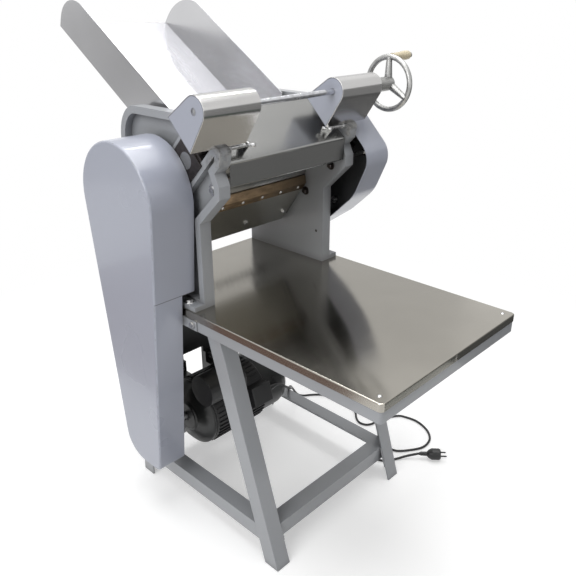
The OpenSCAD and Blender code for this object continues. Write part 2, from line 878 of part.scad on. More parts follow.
module wing_outline() {
    intersection() {
        hull() {
            polygon([[0, -chute_t], [chute_l, -chute_t], [chute_l, 0], [wing_setback, wing_h]]);
            translate([chute_l - wing_round, wing_h - wing_round]) circle(r = wing_round);
        }
        translate([0, -chute_t]) square([chute_l, wing_h + chute_t]);
    }
}

// Right-hand wing, leaning outwards about the floor's edge
module wing() {
    color(stainless) chute_frame() translate([chute_w / 2, 0, 0]) rotate([0, wing_flare, 0])
        slab(0, chute_t) wing_outline();
}

module chute_wing_left() {
    place() mirror([1, 0, 0]) wing();
}

module chute_wing_right() {
    place() wing();
}

spacer_places = [[wing_setback, 0.21 * wing_h], [2 * wing_setback, 0.42 * wing_h]];

// Sleeves between the wings and the walls
module chute_spacers() {
    color(zinc) place() both_sides() chute_frame() difference() {
        for (pos = spacer_places)
            rod(chute_w / 2, wall_x, 9, pos[0], pos[1]);
        translate([chute_w / 2, 0, 0]) rotate([0, wing_flare, 0])
            translate([chute_t - 60, -chute_l, -wing_h]) cube([60, 2 * chute_l, 3 * wing_h]);
    }
}

// Motor

motor_flange_t = 12;
foot_rib = 2 * (foot_spread - 1.5 * bolt_d);
foot_reach_z = foot_spread + 2 * bolt_d;

module motor_bolt_places() {
    for (x = foot_x, side = [-1, 1])
        translate([x, motor_bar_y - motor_flange_t, motor_z + side * foot_spread])
            children();
}

// Two upright bars between the rear stretcher and the rear rail, with a plate across them
// above the motor
module motor_rails() {
    plate_z = motor_z + foot_reach_z + 2 * bolt_d;
    plate_x = foot_x[0] - 2 * bar_w;
    color(paint) place() difference() {
        union() {
            for (x = foot_x)
                translate([x - bar_w / 2, motor_bar_y, stretcher_h])
                    cube([bar_w, bar_t, leg_top - stretcher_h]);
            translate([plate_x, motor_bar_y - angle_t, plate_z])
                cube([motor_right + cover_l - plate_x, angle_t + eps, leg_top - plate_z]);
        }
        motor_bolt_places() rotate([-90, 0, 0])
            cylinder(d = bolt_d, h = motor_flange_t + bar_t + eps);
    }
}

// Feet that join the motor's body to the upright bars
module motor_feet() {
    color(motor_green) place() difference() {
        for (x = foot_x) {
            translate([x - foot_l / 2, motor_bar_y - motor_flange_t, motor_z - foot_reach_z])
                cube([foot_l, motor_flange_t, 2 * foot_reach_z]);
            translate([x - foot_l / 2, motor_y, motor_z - foot_rib / 2])
                cube([foot_l, motor_foot, foot_rib]);
        }
        rod(motor_left - eps, motor_right + eps, motor_r, motor_y, motor_z);
        motor_bolt_places() rotate([-90, 0, 0])
            cylinder(d = bolt_d, h = motor_flange_t + bar_t + eps);
    }
}

module motor_body() {
    wall = 10;
    color(black) place() difference() {
        rod(motor_left, motor_right, motor_r, motor_y, motor_z);
        rod(motor_left - eps, motor_right - wall, motor_r - wall, motor_y, motor_z);
        rod(motor_left, motor_right + eps, motor_shaft_r + run_fit, motor_y, motor_z);
    }
}

// Turned shape about the motor's axis, drawn as [distance along X, radius]
module motor_turned(x) {
    translate([x, motor_y, motor_z]) rotate([0, 90, 0]) rotate_extrude()
        children();
}

module motor_end_shield() {
    color(motor_green) place() motor_turned(motor_left)
        difference() {
            polygon([[0, 0], [motor_r, 0], [motor_r, -8], [motor_r - 18, -22],
                [46, -shield_l + 6], [42, -shield_l], [0, -shield_l]]);
            translate([0, -shield_l - eps]) square([motor_shaft_r + run_fit, shield_l + 2 * eps]);
        }
}

// Hollow domed cover over the motor's right end
module motor_fan_cover() {
    flat = cover_l - 42;
    r = motor_r - 3;
    color(motor_green) place() motor_turned(motor_right) difference() {
        union() {
            square([r, flat]);
            polygon([[0, flat], [r, flat], [r - 4, flat + 16], [r - 16, flat + 30],
                [r - 34, flat + 38], [30, cover_l], [0, cover_l]]);
        }
        translate([0, -eps]) square([r - 3, flat + eps]);
    }
}

module motor_rotor() {
    color(steel) place() {
        rod(-pulley_x - pulley_w - 4, motor_right + 40, motor_shaft_r, motor_y, motor_z);
        rod(motor_left + 12, motor_right - 24, motor_r * 0.62, motor_y, motor_z);
        rod(motor_right + 14, motor_right + 34, motor_r * 0.7, motor_y, motor_z);
    }
}

// Round housing beside the motor, on a neck that follows the motor's body
module capacitor_housing() {
    far = motor_r + 2 + capacitor_d / 2;
    y = motor_y + far * cos(capacitor_a);
    z = motor_z + far * sin(capacitor_a);
    x0 = motor_left - shield_l;
    x1 = x0 + capacitor_l;
    color(black) place() difference() {
        union() {
            rod(x0, x1, capacitor_d / 2, y, z);
            translate([motor_left + 10, motor_y, motor_z]) rotate([capacitor_a - 90, 0, 0])
                translate([0, -24, motor_r - 12]) cube([60, 48, 30]);
        }
        rod(motor_left - eps, motor_right + eps, motor_r, motor_y, motor_z);
    }
}

// Box on the motor's front that the cord comes out of
module terminal_box() {
    color(black) place() difference() {
        translate([terminal_x1 - terminal_l, motor_y, motor_z])
            rotate([terminal_a - 90, 0, 0])
                translate([0, -30, motor_r - 18]) cube([terminal_l, 60, 48]);
        rod(motor_left - eps, motor_right + eps, motor_r, motor_y, motor_z);
    }
}

// Belt drive

// Grooved pulley, its left face at local z = 0
module pulley(d, bore) {
    r = d / 2;
    difference() {
        cylinder(r = r, h = pulley_w);
        for (i = [-1, 1])
            translate([0, 0, pulley_w / 2 + i * belt_pitch / 2 - groove_w / 2]) difference() {
                cylinder(r = r + eps, h = groove_w);
                translate([0, 0, -eps]) cylinder(r = r - groove_d, h = groove_w + 2 * eps);
            }
        translate([0, 0, -eps]) cylinder(r = bore, h = pulley_w + 2 * eps);
    }
}

module motor_pulley() {
    color(steel) place() translate([-pulley_x - pulley_w, motor_y, motor_z])
        rotate([0, 90, 0]) pulley(motor_pulley_d, motor_shaft_r);
}

module drive_pulley() {
    color(steel) place() translate([-pulley_x - pulley_w, input_y, input_z])
        rotate([0, 90, 0]) difference() {
            pulley(pulley_d, input_r);
            for (a = [0 : 72 : 288])
                rotate(a) translate([pulley_d / 4 + 4, 0, -eps])
                    cylinder(d = pulley_d / 5, h = pulley_w + 2 * eps);
        }
}

module belt_loop(grow) {
    hull() {
        translate([input_y, input_z]) circle(r = pulley_d / 2 - groove_d + grow, $fn = 96);
        translate([motor_y, motor_z]) circle(r = motor_pulley_d / 2 - groove_d + grow, $fn = 96);
    }
}

module v_belts() {
    mid = -pulley_x - pulley_w / 2;
    color(black) place() for (i = [-1, 1])
        slab(mid + i * belt_pitch / 2 - belt_w / 2, mid + i * belt_pitch / 2 + belt_w / 2)
            difference() {
                belt_loop(0.6 + belt_t);
                belt_loop(0.6);
            }
}

module input_shaft() {
    color(steel) place()
        rod(-pulley_x - pulley_w - 4, drive_x1 + 2, input_r, input_y, input_z);
}

module input_pinion() {
    phase = input_angle + 180 + 180 / pinion_teeth;
    color(steel) place() spur_gear(drive_m, pinion_teeth, drive_x0, drive_x1, input_r,
        input_y, input_z, phase);
}

module shaft_bushes() {
    color(brass) place() both_sides() {
        tube(wall_x, wall_out, bush_r, journal_r + run_fit, roller_y, roller_z);
        tube(wall_x, wall_out, input_bush_r, input_r + run_fit, input_y, input_z);
    }
}

// Guards

belt_guard_corner = 18;

module belt_guard_outline(inset) {
    mid_z = motor_z + 7;
    low_y = guard_y - belt_guard_low_r + belt_guard_corner;
    low_z = mid_z - belt_guard_low_r + belt_guard_corner;
    hull() {
        translate([guard_y, roller_z - 4]) circle(r = belt_guard_r - inset, $fn = 96);
        translate([guard_y, mid_z]) circle(r = belt_guard_low_r - inset, $fn = 96);
        translate([low_y, low_z]) circle(r = belt_guard_corner - inset, $fn = 48);
    }
}

module belt_guard() {
    low_x1 = -guard_x0 + belt_guard_low_w;
    color(paint) place() difference() {
        slab(-guard_x0, -guard_x1) belt_guard_outline(0);
        slab(-guard_x0 + skin_t, -guard_x1 + eps) belt_guard_outline(skin_t);
        translate([low_x1, 0, 0]) cube([guard_x0, table_d, table_h + notch_h]);
    }
}

clip_t = 3;

// Strap that lies inside the guard's rim, where a window cuts it
module guard_strap(x0, x1) {
    slab(x0, x1) difference() {
        belt_guard_outline(skin_t);
        belt_guard_outline(skin_t + clip_t);
    }
}

// Clips that hold the belt guard to the left wall and the left rail
module belt_guard_clips() {
    strap_x = -guard_x1 - 24;
    clip_h = 2 * bolt_d + 20;
    clip_z = table_h + notch_h + rim_w;
    low_x = -guard_x0 + belt_guard_low_w - 24;
    y0 = wall_front - 10;
    z0 = rail_low + 1;
    strap_h = 25;
    color(paint) place() {
        intersection() {
            guard_strap(strap_x, -wall_out - clip_t);
            translate([-guard_x0, guard_y, clip_z])
                cube([guard_x0, belt_guard_r, clip_h]);
        }
        slab(-wall_out - clip_t, -wall_out) difference() {
            translate([guard_y, clip_z]) square([wall_back - guard_y, clip_h]);
            belt_guard_outline(skin_t + clip_t);
        }
        intersection() {
            guard_strap(low_x, -rail_x - clip_t);
            translate([-guard_x0, wall_front, z0]) cube([guard_x0, belt_guard_back, strap_h]);
        }
        difference() {
            intersection() {
                translate([-rail_x - clip_t, y0, z0]) cube([clip_t, belt_guard_back, strap_h]);
                slab(-rail_x - clip_t, -rail_x) difference() {
                    translate([y0, z0]) square([guard_y, strap_h]);
                    belt_guard_outline(skin_t + clip_t);
                }
            }
            rail_bolt_place() rod(-angle_w, angle_w, bolt_d / 2, 0, 0);
        }
    }
}

gear_guard_centres = [
    [roller_y - gear_guard_front, roller_z + gear_guard_front_up],
    [roller_y - gear_guard_top_front, roller_z + gear_guard_top_up],
    [roller_y + gear_guard_back, roller_z + gear_guard_back_up],
    [roller_y + gear_guard_low_back, roller_z - gear_guard_low_down]];
gear_guard_belly_centres = [
    [roller_y - gear_guard_keel, roller_z - gear_guard_keel_down],
    [roller_y - gear_guard_belly, roller_z + gear_guard_belly_up]];

module gear_guard_outline(inset) {
    hull() {
        for (c = gear_guard_centres) translate(c) circle(r = gear_guard_r - inset, $fn = 72);
        for (c = gear_guard_belly_centres)
            translate(c) circle(r = gear_guard_belly_r - inset, $fn = 144);
    }
}

module gear_guard() {
    x0 = wall_out + guard_gap;
    x1 = x0 + gear_guard_w;
    color(paint) place() difference() {
        slab(x0, x1) gear_guard_outline(0);
        slab(x0 - eps, x1 - skin_t) gear_guard_outline(skin_t);
        for (pos = guard_stud_places)
            rod(x0, x1 + eps, guard_stud_r, pos[0], pos[1]);
    }
}

// Studs from the wall that carry the gear guard, with a collar inside and a nut outside
module gear_guard_studs() {
    x1 = wall_out + guard_gap + gear_guard_w;
    color(zinc) place() for (pos = guard_stud_places) {
        rod(wall_x + 2, x1 + 9, guard_stud_r, pos[0], pos[1]);
        rod(x1 - skin_t - 6, x1 - skin_t, 2 * guard_stud_r, pos[0], pos[1]);
        translate([x1, pos[0], pos[1]]) rotate([0, 90, 0])
            cylinder(r = 1.8 * guard_stud_r, h = 7, $fn = 6);
    }
}

// Rollers

// Roller barrel with a journal at each end, along X
module roller(y, z, right) {
    half = wall_x - roller_side;
    rod(-half, half, roller_r, y, z);
    rod(-wall_out - 3, right, journal_r, y, z);
}

module fixed_roller() {
    color(stainless) place() roller(roller_y, roller_z, gear_x0 + gear_w + 4);
}

module drive_gear() {
    color(steel) place() spur_gear(drive_m, drive_teeth, drive_x0, drive_x1, journal_r,
        roller_y, roller_z, input_angle);
}

module fixed_roller_gear() {
    color(steel) place() spur_gear(sync_m, sync_teeth, gear_x0, gear_x0 + gear_w, journal_r,
        roller_y, roller_z, 90 + slot_angle);
}

upper = slot_pt(0, block_h);

module adjustable_roller() {
    color(stainless) place() roller(upper[0], upper[1], gear_x0 + gear_w + 2);
}

module adjustable_roller_gear() {
    phase = slot_angle - 90 + 180 / sync_teeth;
    color(steel) place() spur_gear(sync_m, sync_teeth, gear_x0, gear_x0 + gear_w, journal_r,
        upper[0], upper[1], phase);
}

// Gap setting

module bearing_blocks() {
    half = slot_half - slide_fit;
    lip = 8;
    lip_t = guard_gap - 2;
    color(steel) place() both_sides() slot_frame() difference() {
        union() {
            translate([wall_x, -half, block_h - block_l / 2]) cube([wall_t, 2 * half, block_l]);
            translate([wall_out + skin_fit, -half - lip, block_h - block_l / 2 + 8])
                cube([lip_t, 2 * half + 2 * lip, block_l - 16]);
            translate([wall_out - eps, -half, block_h - block_l / 2 + 8])
                cube([2 * eps, 2 * half, block_l - 16]);
        }
        rod(wall_x - eps, wall_out + 9, journal_r + run_fit, 0, block_h);
    }
}

// Screws that stand on the bearing blocks and pass through the bevel nuts
module adjusting_screws() {
    foot = block_h + block_l / 2;
    tip = shaft_reach - shaft_r - (gap_max - roll_gap) - 5;
    color(zinc) place() both_sides() slot_frame() translate([slot_x, 0, foot]) {
        cylinder(r = screw_r + 5, h = 8);
        cylinder(r = screw_r, h = tip - foot);
    }
}

module housing_outline(inset) {
    h0 = seat_h;
    hull() {
        translate([0, shaft_reach]) circle(r = housing_r - inset, $fn = 72);
        translate([-housing_w / 2 + inset, h0]) square([housing_w - 2 * inset, 0.1]);
    }
}

module housing_bases() {
    half = housing_w / 2 - skin_t - 2;
    color(paint) place() difference() {
        slot_frame() for (x = housing_starts) translate([x + plate_t, -half, seat_h])
            cube([housing_l - 2 * plate_t, 2 * half, base_t]);
        both_sides() {
            slot_frame() translate([slot_x, 0, seat_h - eps])
                cylinder(r = nut_journal_r + run_fit, h = base_t + 2 * eps);
            housing_bolt_places() cylinder(d = housing_bolt_d, h = base_t + eps);
        }
    }
}

module housing_plates() {
    color(paint) place() slot_frame()
        for (start = housing_starts, x = [start, start + housing_l - plate_t]) difference() {
            slab(x, x + plate_t) housing_outline(skin_t);
            rod(x - eps, x + plate_t + eps, shaft_r + run_fit, 0, shaft_reach);
        }
}

module housing_wraps() {
    color(stainless) place() slot_frame() for (x = housing_starts) slab(x, x + housing_l)
        difference() {
            housing_outline(0);
            housing_outline(skin_t);
            translate([-housing_w, seat_h - 1]) square([2 * housing_w, 1.2]);
        }
}

// Nut that the bevel gear turns; it runs in the housing's base on a collar
module bevel_nut(x) {
    top = shaft_reach - bevel_r;
    color(brass) slot_frame() translate([x, 0, 0]) difference() {
        union() {
            translate([0, 0, seat_h - 4]) cylinder(r = nut_journal_r, h = base_t + 4 + skin_fit);
            translate([0, 0, seat_h + base_t + skin_fit]) cylinder(r = nut_journal_r + 6, h = 8);
            translate([0, 0, seat_h + base_t + 6]) cylinder(r = nut_journal_r, h = top - seat_h - base_t - 6);
            translate([0, 0, top]) bevel_gear(180);
        }
        translate([0, 0, seat_h - 5]) cylinder(r = screw_r + run_fit, h = housing_h);
    }
}

module bevel_nut_left() {
    place() bevel_nut(-slot_x);
}

module bevel_nut_right() {
    place() bevel_nut(slot_x);
}

module cross_shaft() {
    color(zinc) place() slot_frame()
        rod(-housing_left + 2, hub_x0 + hub_l, shaft_r, 0, shaft_reach);
}

module bevel_pinions() {
    phase = -90 + 180 / bevel_teeth;
    hub = 12;
    color(steel) place() slot_frame() for (x = [-slot_x, slot_x]) difference() {
        translate([x - bevel_r, 0, shaft_reach]) rotate([90, 0, 90]) {
            bevel_gear(phase);
            translate([0, 0, -hub]) cylinder(r = bevel_r - 4, h = hub);
        }
        rod(x - bevel_r - hub - eps, x, shaft_r, 0, shaft_reach);
    }
}

shaft_pos = slot_pt(0, shaft_reach);

// Ring rim, three spokes and a stepped hub
module handwheel() {
    spoke_r = wheel_rim / 2;
    color(alloy) place() translate([0, shaft_pos[0], shaft_pos[1]]) difference() {
        union() {
            translate([wheel_x, 0, 0]) rotate([0, 90, 0]) rotate_extrude()
                translate([wheel_r, 0]) circle(r = wheel_rim / 2);
            for (a = [0, 120, 240]) rotate([a, 0, 0])
                translate([wheel_x - 2, 0, 0]) cylinder(r1 = 1.6 * spoke_r, r2 = spoke_r, h = wheel_r);
            rod(hub_x0, hub_x0 + hub_l, hub_d / 2, 0, 0);
        }
        rod(hub_x0 - eps, hub_x0 + hub_l + eps, shaft_r, 0, 0);
        rod(wheel_x - eps, wheel_x + wheel_rim, pin_r, 0, wheel_r);
    }
}

module handle_pin() {
    color(zinc) place() translate([0, shaft_pos[0], shaft_pos[1] + wheel_r]) {
        rod(wheel_x, grip_x0 + grip_l + 1, pin_r, 0, 0);
        rod(grip_x0 + grip_l + 1, grip_x0 + grip_l + 4, pin_r + 3, 0, 0);
    }
}

// Turned grip, thickest near its outer end
module handle_grip() {
    r = grip_d / 2;
    bore = pin_r + run_fit;
    color(ivory) place() translate([grip_x0 + skin_fit, shaft_pos[0], shaft_pos[1] + wheel_r])
        rotate([0, 90, 0]) rotate_extrude()
            polygon([[bore, 0], [r - 3, 0], [r - 3.5, 6], [r - 2, grip_l * 0.4],
                [r, grip_l * 0.75], [r - 0.6, grip_l * 0.9], [r - 3.5, grip_l * 0.97],
                [r - 6, grip_l], [bore, grip_l]]);
}

// Mains lead

function spline(a, b, c, d, t) =
    0.5 * (2 * b + (c - a) * t + (2 * a - 5 * b + 4 * c - d) * t * t
        + (3 * b - a - 3 * c + d) * t * t * t);
cord_last = len(cord_points) - 1;
function cord_at(i) = cord_points[max(0, min(cord_last, i))];
cord_path = concat(
    [for (i = [0 : cord_last - 1], k = [0 : cord_steps - 1])
        spline(cord_at(i - 1), cord_at(i), cord_at(i + 1), cord_at(i + 2), k / cord_steps)],
    [cord_points[cord_last]]);
cord_rings = len(cord_path);
function unit(v) = v / norm(v);
function cord_tangent(i) =
    i == 0 ? [1, 0, 0] :
    i == cord_rings - 1 ? plug_dir :
    unit(cord_path[i + 1] - cord_path[i - 1]);
function cord_ring(i) =
    let (t = cord_tangent(i))
    let (u = unit(cross([0, 0, 1], t)))
    let (v = cross(t, u))
    [for (k = [0 : cord_sides - 1])
        let (a = (k + 0.5) * 360 / cord_sides)
        cord_path[i] + cord_d / 2 * (u * cos(a) + v * sin(a))];

module power_cord() {
    points = [for (i = [0 : cord_rings - 1]) each cord_ring(i)];
    sides = [for (i = [0 : cord_rings - 2], k = [0 : cord_sides - 1])
        let (a = i * cord_sides + k, b = i * cord_sides + (k + 1) % cord_sides)
        each [[a, a + cord_sides, b], [b, a + cord_sides, b + cord_sides]]];
    first = [for (k = [1 : cord_sides - 2]) [0, k, k + 1]];
    base = (cord_rings - 1) * cord_sides;
    last = [for (k = [1 : cord_sides - 2]) [base, base + k + 1, base + k]];
    color(black) place() polyhedron(points, concat(sides, first, last));
}

// Tapered strain relief on the terminal box's right face
module cord_gland() {
    start = cord_points[0];
    color(black) place() translate([terminal_x1, start[1], start[2]]) rotate([0, 90, 0]) {
        cylinder(r = 12, h = 6, $fn = 6);
        cylinder(r1 = 9, r2 = cord_d / 2 + 1, h = start[0] - terminal_x1);
    }
}

// Round two-pin plug with a ribbed relief, lying on the floor
module plug() {
    end = cord_points[cord_last];
    r = plug_d / 2;
    color(black) place() translate(end) rotate([0, 90, atan2(plug_dir[1], plug_dir[0])]) {
        rotate_extrude() polygon([[0, 0], [cord_d / 2 + 1, 0], [cord_d / 2 + 3, 24],
            [r - 6, 30], [r - 1, 40], [r - 1, 62], [r - 3, 66], [0, 66]]);
        for (i = [0 : 2]) translate([0, 0, 5 + i * 6]) cylinder(r = cord_d / 2 + 3.2, h = 3);
        for (side = [-1, 1]) translate([0, side * 9.5, 66]) {
            cylinder(r = 2.4, h = 17);
            translate([0, 0, 17]) sphere(r = 2.4);
        }
    }
}

leg_front_left();
leg_front_right();
leg_rear_left();
leg_rear_right();
stretchers();
table_rails();
table_top();
table_screws();
wall_left();
wall_right();
frame_bolts();
tie_rods();
roller_cover();
cover_studs();
scraper_blade();
scraper_screws();
apron_plate();
apron_brackets();
chute_floor();
chute_wing_left();
chute_wing_right();
chute_spacers();
motor_rails();
motor_feet();
motor_body();
motor_end_shield();
motor_fan_cover();
motor_rotor();
capacitor_housing();
terminal_box();
motor_pulley();
v_belts();
drive_pulley();
input_shaft();
input_pinion();
shaft_bushes();
belt_guard();
belt_guard_clips();
gear_guard();
gear_guard_studs();
fixed_roller();
drive_gear();
fixed_roller_gear();
adjustable_roller();
adjustable_roller_gear();
bearing_blocks();
adjusting_screws();
housing_bases();
housing_plates();
housing_wraps();
bevel_nut_left();
bevel_nut_right();
cross_shaft();
bevel_pinions();
handwheel();
handle_pin();
handle_grip();
cord_gland();
power_cord();
plug();
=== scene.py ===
"""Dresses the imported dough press.

Adds its mains cord, rounded edges, small fittings, materials and a pale studio.
"""

import json
import math

import bmesh
import bpy
from mathutils import Matrix, Vector


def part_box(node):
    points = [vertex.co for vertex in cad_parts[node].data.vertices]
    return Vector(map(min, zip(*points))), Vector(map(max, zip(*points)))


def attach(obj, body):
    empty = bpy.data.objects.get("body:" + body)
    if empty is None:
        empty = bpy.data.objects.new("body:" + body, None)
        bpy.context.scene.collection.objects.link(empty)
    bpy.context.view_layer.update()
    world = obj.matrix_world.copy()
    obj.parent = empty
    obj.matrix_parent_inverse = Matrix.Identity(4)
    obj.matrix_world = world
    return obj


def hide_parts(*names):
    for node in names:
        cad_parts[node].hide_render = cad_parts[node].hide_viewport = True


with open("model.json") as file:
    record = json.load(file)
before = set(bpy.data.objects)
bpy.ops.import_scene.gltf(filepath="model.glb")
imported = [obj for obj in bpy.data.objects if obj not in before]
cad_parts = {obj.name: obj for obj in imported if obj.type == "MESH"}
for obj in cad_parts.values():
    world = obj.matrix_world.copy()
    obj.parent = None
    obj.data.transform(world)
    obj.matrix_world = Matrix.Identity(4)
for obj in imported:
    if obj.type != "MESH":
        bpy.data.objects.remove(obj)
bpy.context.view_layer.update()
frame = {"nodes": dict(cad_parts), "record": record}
nodes = frame["nodes"]
scene = bpy.context.scene
scene.view_settings.view_transform = "Standard"
body_of_node = {node: body for body, members in frame["record"]["behaviour"]["bodies"].items()
                for node in members}
slot_of_node = {p["node"]: p["material_slot"] for p in frame["record"]["subparts"]}

# The machine's own frame: x from its middle plane, y from the front feet, z from the floor
TABLE_REACH = 0.288
TABLE_LOW, TABLE_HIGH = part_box("table_top")
MACHINE_ORIGIN = Vector(((TABLE_LOW.x + TABLE_HIGH.x) / 2, TABLE_LOW.y + TABLE_REACH, 0))


def machine(x, y, z):
    """A point of the machine's own frame, in metres, in the row frame."""
    return MACHINE_ORIGIN + Vector((x, y, z))


# Camera, at the photograph's viewing angle
CAMERA_PLACE = (-1.1104, -0.8630, 1.3340)
CAMERA_AZIMUTH = math.radians(-45.89)
CAMERA_ELEVATION = math.radians(24.03)
CAMERA_ROLL = math.radians(-0.21)
CAMERA_LENS = 40.37


def add_camera():
    data = bpy.data.cameras.new("camera")
    data.lens = CAMERA_LENS
    data.sensor_width = 36
    data.clip_start = 0.05
    data.clip_end = 60
    camera = bpy.data.objects.new("camera", data)
    scene.collection.objects.link(camera)
    flat = math.cos(CAMERA_ELEVATION)
    look = Vector((-math.sin(CAMERA_AZIMUTH) * flat, math.cos(CAMERA_AZIMUTH) * flat,
                   -math.sin(CAMERA_ELEVATION)))
    roll = Matrix.Rotation(CAMERA_ROLL, 4, "Z")
    turn = look.to_track_quat("-Z", "Y").to_matrix().to_4x4() @ roll
    camera.matrix_world = Matrix.Translation(machine(*CAMERA_PLACE)) @ turn
    scene.camera = camera


add_camera()

# Materials


class Shader:
    """A node material with a few short ways to add texture to its main shader."""

    def __init__(self, name, colour, roughness, metallic=0.0):
        self.material = bpy.data.materials.new(name)
        self.material.use_nodes = True
        self.tree = self.material.node_tree
        self.main = self.tree.nodes["Principled BSDF"]
        self.main.inputs["Base Color"].default_value = (*colour, 1)
        self.main.inputs["Roughness"].default_value = roughness
        self.main.inputs["Metallic"].default_value = metallic
        self.coords = self.tree.nodes.new("ShaderNodeTexCoord").outputs["Object"]
        self.normal = None

    def link(self, out, into):
        self.tree.links.new(out, into)

    def node(self, kind, **values):
        made = self.tree.nodes.new(kind)
        for key, value in values.items():
            setattr(made, key, value)
        return made

    def noise(self, scale, detail=3.0, stretch=(1, 1, 1), turn=(0, 0, 0)):
        """Noise from 0 to 1, its scale in cells per metre along axes that are turned first."""
        mapping = self.node("ShaderNodeMapping", vector_type="TEXTURE")
        mapping.inputs["Scale"].default_value = tuple(1 / f for f in stretch)
        mapping.inputs["Rotation"].default_value = turn
        self.link(self.coords, mapping.inputs["Vector"])
        noise = self.node("ShaderNodeTexNoise")
        noise.inputs["Scale"].default_value = scale
        noise.inputs["Detail"].default_value = detail
        self.link(mapping.outputs["Vector"], noise.inputs["Vector"])
        return noise.outputs["Fac"]

    def ramp(self, value, low, high, start=0.3, end=0.7):
        """A value spread between two levels."""
        spread = self.node("ShaderNodeMapRange")
        spread.inputs["From Min"].default_value = start
        spread.inputs["From Max"].default_value = end
        spread.inputs["To Min"].default_value = low
        spread.inputs["To Max"].default_value = high
        self.link(value, spread.inputs["Value"])
        return spread.outputs["Result"]

    def math(self, operation, first, second):
        made = self.node("ShaderNodeMath", operation=operation)
        for socket, value in zip(made.inputs, (first, second)):
            if isinstance(value, (int, float)):
                socket.default_value = value
            else:
                self.link(value, socket)
        return made.outputs[0]

    def mix(self, factor, first, second):
        """Mixes two colours; each is a colour or an output."""
        blend = self.node("ShaderNodeMix", data_type="RGBA")
        self.link(factor, blend.inputs["Factor"])
        for socket, value in ((blend.inputs[6], first), (blend.inputs[7], second)):
            if isinstance(value, tuple):
                socket.default_value = (*value, 1)
            else:
                self.link(value, socket)
        return blend.outputs[2]

    def colour(self, output):
        self.link(output, self.main.inputs["Base Color"])

    def rough(self, output):
        self.link(output, self.main.inputs["Roughness"])

    def bump(self, value, depth):
        """Adds relief whose full height is depth metres."""
        bump = self.node("ShaderNodeBump")
        bump.inputs["Strength"].default_value = 1.0
        bump.inputs["Distance"].default_value = depth
        self.link(value, bump.inputs["Height"])
        if self.normal is not None:
            self.link(self.normal, bump.inputs["Normal"])
        self.normal = bump.outputs["Normal"]
        self.link(self.normal, self.main.inputs["Normal"])

    def corner_shade(self, reach, low=0.35, high=0.95):
        """Painted shade: 0 in the open and 1 in tight corners within reach metres."""
        occlusion = self.node("ShaderNodeAmbientOcclusion", samples=6)
        occlusion.inputs["Distance"].default_value = reach
        return self.ramp(occlusion.outputs["AO"], 1.0, 0.0, low, high)

    def edges(self, radius):
        """1 where the surface bends sharply within the radius, in metres."""
        bevel = self.node("ShaderNodeBevel", samples=4)
        bevel.inputs["Radius"].default_value = radius
        turn = self.node("ShaderNodeVectorMath", operation="DOT_PRODUCT")
        self.link(bevel.outputs["Normal"], turn.inputs[0])
        self.link(self.node("ShaderNodeNewGeometry").outputs["Normal"], turn.inputs[1])
        return self.ramp(turn.outputs["Value"], 1, 0, 0.86, 0.99)

    def along(self, axis, start, end):
        """0 at the start and 1 at the end of a stretch along an axis, in metres."""
        parts = self.node("ShaderNodeSeparateXYZ")
        self.link(self.coords, parts.inputs[0])
        return self.ramp(parts.outputs[axis], 0, 1, start, end)


GUARD_PAINT = (0.365, 0.383, 0.450)
FRAME_PAINT = (0.325, 0.336, 0.355)
# Dark grey for the painted shade in the paint's tight corners and for the belt guard's seam line
SHADE_AND_SEAM_GREY = (0.120, 0.120, 0.122)
WORN_PAINT = (0.200, 0.200, 0.205)
JOINT_SHADE = (0.075, 0.077, 0.082)
RAW_DARK = (0.085, 0.083, 0.080)
RAW_LIGHT = (0.40, 0.395, 0.385)
# Where the walls' ears lose their paint: a stretch in Y and one in Z, in the row frame
EAR_FRONT = (-0.03, -0.07)
EAR_TOP = (0.985, 1.020)
# The belt guard's seam: its left face and the height of the notch in its rim
SEAM_W = 0.0009
NOTCH_Z = 0.684
GUARD_SEAM = (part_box("belt_guard")[0].x, NOTCH_Z)


def tinted(colour, factor):
    return tuple(c * factor for c in colour)


def enamel(name, colour, relief, relief_scale, gloss, outline=0.0, seam=None, bare=None):
    """Light grey enamel with faint clouds, worn edges and painted shade in its tight corners.

    Outline and seam draw dark joints, and bare shows raw casting in front of one place
    and above another.
    """
    s = Shader(name, colour, gloss)
    s.main.inputs["Coat Weight"].default_value = 0.4
    s.main.inputs["Coat Roughness"].default_value = 0.09
    s.bump(s.noise(relief_scale, 3), relief)
    slow = s.math("MULTIPLY", s.noise(2.5, 3), 0.6)
    cloud = s.math("ADD", slow, s.math("MULTIPLY", s.noise(420, 2), 0.4))
    base = s.mix(cloud, tinted(colour, 1.03), tinted(colour, 0.93))
    worn = s.math("MULTIPLY", s.edges(0.0016), s.ramp(s.noise(70, 5), 0, 0.7, 0.48, 0.62))
    base = s.mix(worn, base, WORN_PAINT)
    if outline:
        base = s.mix(s.edges(outline), base, JOINT_SHADE)
    if seam is not None:
        face_x, z = seam
        low = s.along("Z", z - SEAM_W, z)
        high = s.along("Z", z + 2 * SEAM_W, z + SEAM_W)
        rim = s.along("X", face_x + SEAM_W, face_x + 2 * SEAM_W)
        line = s.math("MULTIPLY", s.math("MULTIPLY", low, high), rim)
        base = s.mix(line, base, SHADE_AND_SEAM_GREY)
    if bare is not None:
        front, top = bare
        end = s.math("MULTIPLY", s.along("Y", *front), s.along("Z", *top))
        skin = s.ramp(s.noise(48, 6), 0, 1, 0.38, 0.62)
        raw = s.mix(s.ramp(s.noise(90, 5), 0, 1, 0.35, 0.65), RAW_DARK, RAW_LIGHT)
        base = s.mix(s.math("MULTIPLY", end, skin), base, raw)
    # Painted shade: the paint darkens towards dark grey in its tight corners, where shade falls
    s.colour(s.mix(s.ramp(s.corner_shade(0.025), 0.0, 0.75, 0, 1), base, SHADE_AND_SEAM_GREY))
    s.rough(s.ramp(s.noise(6, 2), gloss * 0.85, gloss * 1.2, 0, 1))
    return s.material


